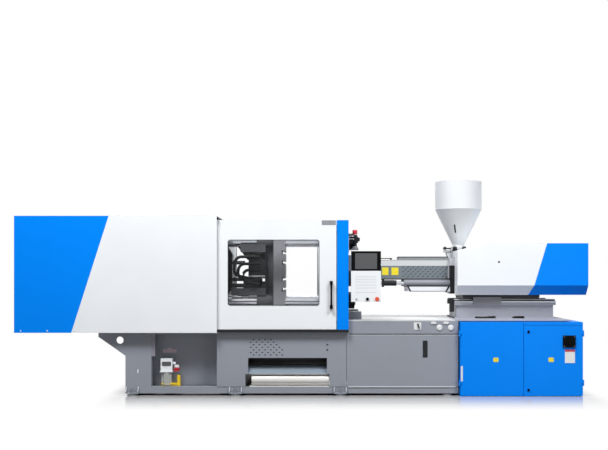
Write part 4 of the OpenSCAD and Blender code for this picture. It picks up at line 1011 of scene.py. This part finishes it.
@dataclass
class ToggleFittings:
    """Core pull valves and hoses on the moving platen's clamp side."""

    face_x: float = -395.0
    side_y: float = -300.0
    hose_r: float = 14.0

    def build(self) -> None:
        """Makes the valves and hoses."""
        x, y = self.face_x, self.side_y
        blocks = Form(x, y)
        for reach, root, low, high in (
            (130, 30, 1085, 1242), (70, -2, 1240, 1310), (150, -2, 1252, 1290),
            (62, -2, 985, 1060), (290, 30, 975, 1014), (180, -2, 1012, 1046),
        ):
            blocks.slab((-reach, -40, low), (root, 0, high), 4)
        blocks.piece("core_valves", BLACK_ENAMEL, "moving_platen", "black_plastic")
        guards = Form(x, y).slab((-206, -40, 1304), (30, -28, 1386), 3)
        guards.slab((-292, -40, 900), (30, -28, 972), 3)
        guards.piece("hose_guards", DARK_ENAMEL, "moving_platen", "cast_grey")
        for i, (top, reach) in enumerate(((1262.0, 250.0), (1196.0, 215.0), (1140.0, 170.0))):
            lane = y - 52.0 - 16.0 * i
            path = [(x - 20, lane, top), (x - reach, lane, top)]
            path += [(x - reach - 20, lane, 1095 - 22 * i), (x - 30, lane, 1040 - 20 * i)]
            Pipe(
                f"core_hose_{i}", HOSE_RUBBER, "moving_platen", "black_plastic", path,
                self.hose_r, 60.0,
            ).build()


@dataclass
class PanelFittings:
    """The control panel's display, keys, key switch and rim."""

    left: float = 415.0
    wide: float = 268.0
    front_y: float = -672.0
    key_rows: Sequence[float] = (1079.0, 1056.0, 1031.0, 1004.0, 977.0, 937.0)
    key_columns: int = 8

    def build(self) -> None:
        """Makes the display, the keys, the key switch and the rim."""
        x, y, wide = self.left, self.front_y, self.wide
        display = Form(x, y).slab((35, 0.6, 1148), (wide - 35, 2.8, 1290), 0.4)
        display.piece("panel_display", DISPLAY_GLASS, "control_panel", "black_plastic")
        pitch = (wide - 100) / (self.key_columns - 1)
        columns = [x + 50 + pitch * i for i in range(self.key_columns)]
        places = [(column, y - 0.4, z) for z in self.key_rows for column in columns]
        Keys("panel_keys", KEY_FILM, "control_panel", "white_paint", places).build()
        profile = [(0, 0), (9, 0), (9, 4), (7, 6), (3, 6), (3, 3), (0, 3)]
        switch = Form(x, y).turned(profile, (46, 0, 877), OUT_FRONT)
        switch.piece("panel_key_switch", ZINC_SCREW, "control_panel", "bright_steel")
        rim = Form(x, y).frame((3, 856), (wide - 3, 1306), 4.0, 2.0, 6, 54)
        rim.piece("panel_rim", PANEL_GREY, "control_panel", "light_grey_paint")


@dataclass
class BedFittings:
    """Small pieces on the bed's front: caps, a switch plate, a plug and panel screws."""

    side_y: float = -595.0
    sheet: float = 4.0
    round_x: Span = (1219.0, 1322.0)
    oval_x: Span = (1165.0, 1278.0)
    oval_half: Span = (26.0, 11.0)

    def build(self) -> None:
        """Makes the pieces."""
        y = self.side_y
        caps = Form(0, y)
        for x in self.round_x:
            profile = [(0, 0), (26, 0), (26, 4), (20, 9), (0, 10)]
            caps.turned(profile, (x, 0, 615), OUT_FRONT, 32)
        wide, high = self.oval_half
        angles = [a * math.pi / 12 for a in range(24)]
        for x in self.oval_x:
            outline = [(x + wide * math.cos(a), 660 + high * math.sin(a)) for a in angles]
            caps.prism(outline, 0, -8)
        plate = Form(0, y).slab((986, -3, 597), (1053, 0, 664), 1.0)
        plug = Form(0, y).prism(rounded_loop((-1524.0, 202.0), (-1510.0, 240.0), 6.5), 11.5, 2)
        for name, made in (("bed_caps", caps), ("switch_plate", plate), ("bed_plug", plug)):
            made.piece(name, WHITE_PLASTIC, "bed", "white_paint")
        lever = Form(0, y).prism([(1016, 652), (1027, 654), (1040, 610), (1029, 607)], -3, -13)
        lever.piece("switch_lever", BLACK_PLASTIC, "bed", "black_plastic")
        self._screws()
        self._lines()

    def _screws(self) -> None:
        """Makes the screws of the side panels, the grille and the deck."""
        face = self.sheet + 0.4 - self.side_y
        pair = [(202.0, z) for z in (414.0, 462.0)]
        screws_both_sides(
            "grille_screws", DARK_SCREW, "bed", "bright_steel", pair, face, (6.0, 3.0)
        )
        spots = [(x, z) for x in (-770.0, -580.0, 340.0) for z in (110.0, 530.0)]
        spots += [(x, z) for x in (410.0, 890.0, 1360.0) for z in (112.0, 526.0)]
        screws_both_sides(
            "bed_screws", BASE_ENAMEL, "bed", "base_grey_paint", spots, face, (4.0, 2.6)
        )
        columns = (450.0, 700.0, 950.0, 1200.0)
        places = [(x, side * 560.0, 686.4) for x in columns for side in (FRONT, BACK)]
        Screws(
            "deck_screws", DECK_ENAMEL, "bed", "base_grey_paint", places, 5.0, 3.0, "top"
        ).build()

    def _lines(self) -> None:
        """Makes the bed front's painted edge highlights, its dark seam strips and its liners of
        painted shadow.
        """
        y, face = self.side_y, -self.sheet
        dark = Form(0, y).slab((400, face - 0.8, 552), (1390, face, 561))
        dark.slab((-560, 2, 352), (-196, 5, 524)).slab((1080, 2, 340), (1129, 5, 505))
        dark.piece("bed_shadow_lines", BLACK_ENAMEL, "bed", "black_plastic")
        # Strips of painted highlight along a folded edge and along the bottom rail's top edge.
        light = Form(0, y).slab((400, face - 1.4, 547), (1390, face, 552), 0.4)
        light.slab((390, face - 2.4, 76), (1366, face, 85), 0.6)
        light.piece("bed_edge_highlights", EDGE_HIGHLIGHT_GREY, "bed", "base_grey_paint")
        post = Form(0, y).slab((-1405, 3, 356), (-1360, 7, 566), 0.6)
        post.piece("recess_post", POST_GREY, "bed", "base_grey_paint")
        # A roll across the chute's mouth, whose near-white paint is a painted reflection of bright
        # steel.
        profile = [(0, 0), (46, 0), (48, 4), (48, 698), (46, 702), (0, 702)]
        roll = Form(0, y).turned(profile, (-486, 47, 139), (1, 0, 0), 40)
        roll.piece("chute_roll", ROLL_PAINTED_REFLECTION, "bed", "bright_steel")


@dataclass
class PumpFittings:
    """Details of the lubrication pump: display, filler cap, strap and its blank plate."""

    middle_x: float = -1261.0
    front_y: float = -573.0
    back_y: float = -459.0
    spout_axis: Point = (0.0, 0.25, 1.0)

    def build(self) -> None:
        """Makes the pieces."""
        x, y = self.middle_x, self.front_y
        shown = Form(x, y).slab((-39, -2, 270), (41, 0, 304), 1.0)
        shown.piece("pump_display", DISPLAY_GLASS, "bed", "black_plastic")
        frame = Form(x, y).frame((-36, 273), (38, 301), 4, 4, -3, -1)
        frame.piece("pump_display_frame", DARK_SCREW, "bed", "black_plastic")
        profile = [(0, 0), (17, 0), (24, 5), (24, 24), (15, 30), (0, 31)]
        cap = Form(x, y).turned(profile, (90, 44, 243), self.spout_axis)
        cap.piece("pump_filler_cap", WHITE_PLASTIC, "bed", "white_paint")
        profile = [(0, 0), (27, 0), (27, 9), (0, 9)]
        ring = Form(x, y).turned(profile, (90, 45, 233), self.spout_axis)
        ring.slab((62, 20, 216), (112, 60, 232), 3)
        ring.piece("pump_filler_ring", RED_CAP, "bed", "red_plastic")
        strap = Form(x, y).slab((-50, 22, 83), (120, 112, 90), 1.0)
        strap.slab((96, 22, 89), (124, 34, 182), 1.5).slab((-48, 14, 98), (98, 22, 112), 1.0)
        strap.piece("pump_strap", YELLOW_ENAMEL, "bed", "amber_reservoir")
        ribs = Form(x, y).slab((-62, 12, 205), (44, 30, 213), 1.0)
        for left in (19 * i - 44 for i in range(5)):
            ribs.slab((left, 16, 116), (left + 5, 26, 210), 1.0)
        ribs.piece("pump_ribs", WHITE_PLASTIC, "bed", "white_paint")
        works = Form(x, y)
        for left, low, high in ((-32, 120, 196), (-8, 128, 176), (14, 120, 200)):
            works.slab((left, 28, low), (left + 10, 36, high), 1.0)
        works.piece("pump_works", BLACK_ENAMEL, "bed", "black_plastic")
        plate = Form(x, self.back_y).slab((-46, -2, 379), (80, 0, 411), 0.5)
        plate.slab((-2, -2, 410), (34, 0, 424), 0.5)
        plate.piece("recess_plate", FADED_PLATE, "bed", "light_grey_paint")


@dataclass
class CabinetFittings:
    """Locks, blank plates and trim on the cabinet's doors."""

    face_y: float = -660.0
    lock_x: float = 2013.0
    lock_z: Span = (583.0, 59.0)
    field_x: Span = (1719.0, 2217.0)
    field_z: Span = (310.0, 350.0)
    field_half: float = 24.0

    def build(self) -> None:
        """Makes the pieces."""
        y = self.face_y
        left, right = "cabinet_door_left", "cabinet_door_right"
        profile = [(0, 0), (12, 0), (12, 6), (10, 8), (5, 8), (5, 6.5), (0, 6.5)]
        locks = Form(self.lock_x, y)
        for z in self.lock_z:
            locks.turned(profile, (0, 0, z), OUT_FRONT, 28)
        locks.piece("cabinet_locks", BLACK_PLASTIC, right, "black_plastic")
        plate = Form(0, y).slab((2341, -1.5, 300), (2432, 0, 402), 0.4)
        plate.piece("cabinet_plate", WHITE_PLASTIC, right, "white_paint")
        band = Form(0, y).slab((2341, -1.5, 402), (2432, 0, 421), 0.4)
        band.piece("cabinet_plate_band", RED_CAP, right, "red_plastic")
        half, (low, high) = self.field_half, self.field_z
        for label, x in zip(("left", "right"), self.field_x):
            film = Form(x, y).prism(rounded_loop((-half, low), (half, high), 10.0), 0, -1.5)
            body = f"cabinet_door_{label}"
            film.piece(f"cabinet_field_{label}", YELLOW_FILM, body, "amber_reservoir")
        edge = Form(0, y).slab((1403, -2, 135), (1421, 0, 274), 0.6)
        edge.piece("cabinet_edge_plate", WHITE_PLASTIC, left, "white_paint")
        seam = Form(0, y).slab((1976, -1.2, 641), (2502, 0, 643))
        seam.piece("cabinet_seam", BLUE_SHADE, right, "blue_paint")
        places = [(x, y - 12.4, z) for x in (2333.0, 2425.0) for z in (452.0, 538.0)]
        Screws("isolator_screws", DARK_SCREW, right, "bright_steel", places, 4.0, 2.0).build()


@dataclass
class HoodFittings:
    """Pieces on the barrel's hood: blank fields, handle, duct lid, rails, liners and struts."""

    side_y: float = -130.0
    top_z: float = 1237.0
    duct_x: Span = (890.0, 1368.0)
    duct_half: float = 53.0

    def build(self) -> None:
        """Makes the pieces."""
        top, half = self.top_z, self.duct_half
        start, end = self.duct_x
        fields = Form(0, self.side_y)
        for left, right in ((731.0, 791.0), (820.0, 886.0)):
            fields.slab((left, -1.2, 1092), (right, 0, 1163), 0.4)
        fields.piece("hood_fields", YELLOW_FILM, "carriage", "amber_reservoir")
        lid = Form().slab((start, -half, top + 25), (end, half, 1268), 1.0)
        lid.slab((start - 4, -half, top), (start, half, 1266), 1.0)
        lid.piece("duct_lid", DARK_SCREW, "carriage", "cast_grey")
        rails = Form().pair((1354, 131, 1060), (1367, 137, 1176), 1.0)
        rails.piece("hood_rails", PANEL_GREY, "carriage", "cast_grey")
        handle = Form().slab((606, -65, 1246), (834, -55, 1254), 3.0)
        for left in (612, 812):
            handle.slab((left, -66, top), (left + 16, -54, 1250), 1.5)
        plate = Form().slab((1368, -204, 1058), (1407, -190, 1182), 1.5)
        plate.slab((1380, -200, 930), (1402, -190, 1056), 1.5)
        liners = Form().pair((560, 130.4, 1048), (1367, 133, 1057), 0.8)
        liners.pair((905, 122, 1064), (1350, 125, 1176))
        struts = Form()
        for side in (FRONT, BACK):
            for outline in (
                [(958, 992), (974, 992), (1004, 936), (986, 936)],
                [(1366, 986), (1350, 986), (1322, 936), (1338, 936)],
                [(1004, 936), (1004, 941), (1322, 941), (1322, 936)],
            ):
                struts.prism(outline, side * 190.0, side * 193.0)
        for name, made, finish in (
            ("hood_handle", handle, BLACK_PLASTIC), ("feed_end_plate", plate, BLACK_ENAMEL),
            ("tray_struts", struts, BLACK_ENAMEL), ("hood_liners", liners, BLACK_ENAMEL),
        ):
            made.piece(name, finish, "carriage", "black_plastic")
        face = self.side_y - 0.4
        places = [(x, face, z) for x in (590, 700, 1345) for z in (1075, 1165)]
        Screws("hood_screws", DARK_SCREW, "carriage", "bright_steel", places, 4.5, 2.5).build()


@dataclass
class HopperFittings:
    """Clamps and levers at the hopper's foot, its spout, sight slot and rolled beads."""

    axis_x: float = 1471.5
    neck_r: float = 55.0
    neck_z: float = 1378.0
    drum_r: float = 222.0
    cone_z: float = 1721.0
    rim_z: float = 1980.0
    slot_z: Span = (1494.0, 1570.0)
    slot_half: float = 6.5
    slot_aim: float = -111.5

    def build(self) -> None:
        """Makes the pieces."""
        profile = [(0, 0), (20, 0), (20, 24), (14, 31), (0, 32)]
        clamps = Form(self.axis_x)
        for x in (-44, 44):
            clamps.pair((x - 22, 72, 1318), (x + 22, 100, 1340), 3)
            for side in (FRONT, BACK):
                clamps.turned(profile, (x, side * 86.0, 1332), (0, side * 0.2, 1), 18)
        clamps.slab((-134, -20, 1340), (-74, 20, 1352), 4)
        clamps.slab((-142, -52, 1334), (-118, 52, 1362), 6)
        clamps.piece("foot_clamps", BLACK_ENAMEL, "carriage", "black_plastic")
        profile = [(0, 0), (7, 0), (9, 10), (7, 22), (0, 24)]
        tips = Form(self.axis_x)
        for side in (FRONT, BACK):
            tips.turned(profile, (52, side * 88.0, 1346), (1, 0, 0.25), 16)
        tips.piece("foot_clamp_tips", WHITE_PLASTIC, "carriage", "white_paint")
        outline = [(1372, 1250), (1394, 1250), (1398, 1300), (1391, 1316), (1352, 1318)]
        spout = Form().prism([*outline, (1356, 1290)], -46, 46)
        spout.piece("granule_spout", PANEL_GREY, "carriage", "light_grey_paint")
        self._sight_slot()
        self._beads()

    def _sight_slot(self) -> None:
        """Makes the dark slot that shows how full the cone is."""
        aim = math.radians(self.slot_aim)
        out = Vector((math.cos(aim), math.sin(aim), 0.0))
        across = Vector((-math.sin(aim), math.cos(aim), 0.0))
        rows = []
        for z, lifts in zip(self.slot_z, ((-1.0, 1.4), (1.4, -1.0))):
            share = (z - self.neck_z) / (self.cone_z - self.neck_z)
            radius = self.neck_r + share * (self.drum_r - self.neck_r)
            rows += [Vector((0.0, 0.0, z)) + out * (radius + lift) for lift in lifts]
        ends = (-self.slot_half, self.slot_half)
        slot = Form(self.axis_x).loft([[row + across * end for row in rows] for end in ends])
        slot.piece("hopper_sight_slot", BLACK_PLASTIC, "carriage", "black_plastic")

    def _beads(self) -> None:
        """Makes the rolled beads round the drum, at the cone and at the rim."""
        radius = self.drum_r - 1.2
        angles = [a * math.pi / 6 for a in range(-3, 4)]
        bead = [(radius + 2.4 * math.cos(a), 3.0 * math.sin(a)) for a in angles]
        profile = [(radius - 2.6, -3.0), *bead, (radius - 2.6, 3.0)]
        beads = Form(self.axis_x)
        for z in (self.cone_z, self.rim_z - 5):
            beads.turned(profile, (0.0, 0.0, z), steps=72, endless=True)
        beads.piece("hopper_beads", HOPPER_ENAMEL, "carriage", "light_grey_paint")


@dataclass
class CoverFittings:
    """The screw in each side of the injection cover."""

    side_y: float = 400.0
    screw: Spot = (1793.0, 1213.0)

    def build(self) -> None:
        """Makes the screws."""
        screws_both_sides(
            "cover_screws", DARK_SCREW, "carriage", "bright_steel", [self.screw],
            self.side_y + 0.4, (6.5, 3.0),
        )


@dataclass
class BaseFittings:
    """Scraper strips, skirts and screws of the injection unit's base."""

    start_x: float = 1398.0
    end_x: float = 2349.0
    screw_x: Sequence[float] = (1440.0, 1560.0, 1830.0, 1910.0, 2100.0, 2310.0)

    def build(self) -> None:
        """Makes the scraper strips, the carriage's skirts and the screws."""
        strips = Form().pair((self.start_x + 2, 259, 838), (self.end_x - 2, 262.5, 844), 0.8)
        strips.piece("base_strips", BAND_STEEL, "bed", "bright_steel")
        skirts = Form().pair((1482, 236, 868), (2196, 246, 884), 1.0)
        skirts.piece("carriage_skirts", BLACK_ENAMEL, "carriage", "black_plastic")
        places = [(x, side * 251.0, 700.6) for x in self.screw_x for side in (FRONT, BACK)]
        Screws(
            "base_screws", BASE_LAVENDER, "bed", "base_grey_paint", places, 7.0, 7.0, "top"
        ).build()


@dataclass
class PhotoView:
    """The camera: where the photograph was taken from, and how wide it sees."""

    eye: Point = (-0.010, -10.675, 1.130)
    lens_mm: float = 65.8
    sensor_mm: float = 36.0
    frame_px: float = 608.0
    horizon_drop_px: float = 46.0

    def build(self) -> None:
        """Makes the camera and gives it to the scene."""
        lens = bpy.data.cameras.new("photo_camera")
        lens.lens = self.lens_mm
        lens.sensor_width = self.sensor_mm
        lens.sensor_fit = "HORIZONTAL"
        lens.shift_y = self.horizon_drop_px / self.frame_px
        lens.clip_end = 100.0
        camera = put("photo_camera", lens)
        camera.location = self.eye
        camera.rotation_euler = (math.radians(90.0), 0.0, 0.0)
        bpy.context.scene.camera = camera


@dataclass
class Studio:
    """A pale floor, a white surround and soft lamps."""

    floor_m: float = 60.0
    ambient: float = 0.11
    key_watts: float = 560.0
    fill_watts: float = 368.0
    back_watts: float = 240.0
    low_watts: float = 11.0
    lamp_m: float = 2.1
    floor_grey: float = 0.5
    bounce_grey: float = 0.16
    floor_roughness: float = 0.08
    floor_ior: float = 1.5
    side_fade: float = 5.0
    foot_middle_x: float = 0.43
    foot_half_x: float = 2.06
    foot_half_y: float = 0.66
    far_m: float = 1.1

    def build(self) -> None:
        """Makes the floor, the world and the lamps."""
        self._floor()
        self._world()
        self._lamp("key_lamp", (-2.4, -3.9, 7.0), (-0.4, -0.4, 0.9), self.lamp_m, self.key_watts)
        self._lamp("fill_lamp", (3.4, -4.1, 6.5), (0.6, -0.4, 0.9), self.lamp_m, self.fill_watts)
        self._lamp("back_lamp", (0.0, 6.0, 5.0), (0.0, 0.0, 1.0), 5.0, self.back_watts)
        self._lamp("low_lamp", (2.7, -3.4, 0.7), (2.0, -0.4, 0.9), 1.6, self.low_watts)

    def _floor(self) -> None:
        """Makes the floor, which shows white to the camera and keeps the object's shadow."""
        half = self.floor_m / 2
        mesh = bpy.data.meshes.new("studio_floor")
        corners = [(-half, -half, 0.0), (half, -half, 0.0), (half, half, 0.0), (-half, half, 0.0)]
        mesh.from_pydata(corners, [], [(0, 1, 2, 3)])
        made = bpy.data.materials.new("studio floor")
        tree = blank_tree(made)
        diffuse = add_node(tree, "ShaderNodeLightPath").outputs["Is Diffuse Ray"]
        inputs = {"Value": diffuse, "To Min": self.floor_grey, "To Max": self.bounce_grey}
        shade = add_node(tree, "ShaderNodeMapRange", inputs).outputs["Result"]
        inputs = {"Roughness": self.floor_roughness, "IOR": self.floor_ior, "Base Color": shade}
        near = add_node(tree, "ShaderNodeBsdfPrincipled", inputs).outputs["BSDF"]
        plain = add_node(tree, "ShaderNodeEmission", {"Strength": 1.0}).outputs["Emission"]
        inputs = {0: self._seen(tree), 1: self._distance(tree)}
        away = add_node(tree, "ShaderNodeMath", inputs, operation="MULTIPLY").outputs[0]
        inputs = {0: away, 1: near, 2: plain}
        surface = add_node(tree, "ShaderNodeMixShader", inputs).outputs["Shader"]
        add_node(tree, "ShaderNodeOutputMaterial", {"Surface": surface})
        mesh.materials.append(made)
        put("studio_floor", mesh)

    def _seen(self, tree: Tree) -> Socket:
        """Finds whether a ray comes from the camera, a mirror or a pane.

        Args:
            tree: The node tree of the floor or the world.

        Returns:
            1 if it does, or else 0.
        """
        path = add_node(tree, "ShaderNodeLightPath").outputs
        seen = path["Is Camera Ray"]
        for other in ("Is Glossy Ray", "Is Transmission Ray"):
            inputs = {0: seen, 1: path[other]}
            seen = add_node(tree, "ShaderNodeMath", inputs, operation="MAXIMUM").outputs[0]
        return seen

    def _distance(self, tree: Tree) -> Socket:
        """How far the floor is from the machine's foot, from 0 beside it to 1 where it is plain.

        Args:
            tree: The floor's node tree.

        Returns:
            The share of plain white.
        """
        place = add_node(tree, "ShaderNodeNewGeometry").outputs["Position"]
        axes = add_node(tree, "ShaderNodeSeparateXYZ", {"Vector": place}).outputs
        squares = []
        for axis, middle, half, fade in (
            ("X", self.foot_middle_x, self.foot_half_x, self.side_fade),
            ("Y", 0.0, self.foot_half_y, 1.0),
        ):
            gap = axes[axis]
            for operation, value in (
                ("SUBTRACT", middle), ("ABSOLUTE", 0.0), ("SUBTRACT", half), ("MAXIMUM", 0.0),
                ("MULTIPLY", fade),
            ):
                inputs = {0: gap, 1: value}
                gap = add_node(tree, "ShaderNodeMath", inputs, operation=operation).outputs[0]
            square = add_node(tree, "ShaderNodeMath", {0: gap, 1: gap}, operation="MULTIPLY")
            squares.append(square.outputs[0])
        inputs = {0: squares[0], 1: squares[1]}
        total = add_node(tree, "ShaderNodeMath", inputs, operation="ADD").outputs[0]
        reach = add_node(tree, "ShaderNodeMath", {0: total}, operation="SQRT").outputs[0]
        inputs = {"Value": reach, "From Min": 0.0, "From Max": self.far_m}
        share = add_node(tree, "ShaderNodeMapRange", inputs, interpolation_type="SMOOTHSTEP")
        return share.outputs["Result"]

    def _world(self) -> None:
        """Makes a world that shows white and lights at the ambient level."""
        world = bpy.data.worlds.new("studio_world")
        bpy.context.scene.world = world
        tree = blank_tree(world)
        shades = []
        for strength in (self.ambient, 1.0):
            inputs = {"Color": (1.0, 1.0, 1.0, 1.0), "Strength": strength}
            shades.append(add_node(tree, "ShaderNodeBackground", inputs).outputs[0])
        inputs = {0: self._seen(tree), 1: shades[0], 2: shades[1]}
        surface = add_node(tree, "ShaderNodeMixShader", inputs).outputs["Shader"]
        add_node(tree, "ShaderNodeOutputWorld", {"Surface": surface})

    def _lamp(self, name: str, place: Point, aim: Point, size: float, watts: float) -> None:
        """Makes one soft lamp.

        Args:
            name: The lamp's name.
            place: Where it hangs.
            aim: The point that it faces.
            size: The side of its square.
            watts: Its power.
        """
        light = bpy.data.lights.new(name, "AREA")
        light.shape = "SQUARE"
        light.size = size
        light.energy = watts
        lamp = put(name, light)
        lamp.location = place
        lamp.rotation_euler = (Vector(aim) - Vector(place)).to_track_quat("-Z", "Y").to_euler()


def dress_nodes(nodes: dict[str, bpy.types.Object]) -> None:
    """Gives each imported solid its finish.

    Args:
        nodes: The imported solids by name.
    """
    for name, node in nodes.items():
        finish = NODE_FINISH[name]
        node.data.materials.clear()
        node.data.materials.append(finish.material())
        LOG.info("%s: %s", name, finish.name)


def main() -> None:
    """Dresses the machine and sets the scene."""
    logging.basicConfig(level=logging.INFO, format="%(name)s: %(message)s")
    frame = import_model()
    bpy.context.scene.view_settings.view_transform = "Standard"
    PhotoView().build()
    Studio().build()
    dress_nodes(frame["nodes"])
    assemblies = (
        GuardFittings(),
        *(DoorFittings(label, side) for label, side in SIDES),
        PlatenFittings(),
        ToggleFittings(),
        PanelFittings(),
        BedFittings(),
        PumpFittings(),
        CabinetFittings(),
        HoodFittings(),
        HopperFittings(),
        CoverFittings(),
        BaseFittings(),
    )
    for assembly in assemblies:
        assembly.build()


if __name__ == "__main__":
    main()
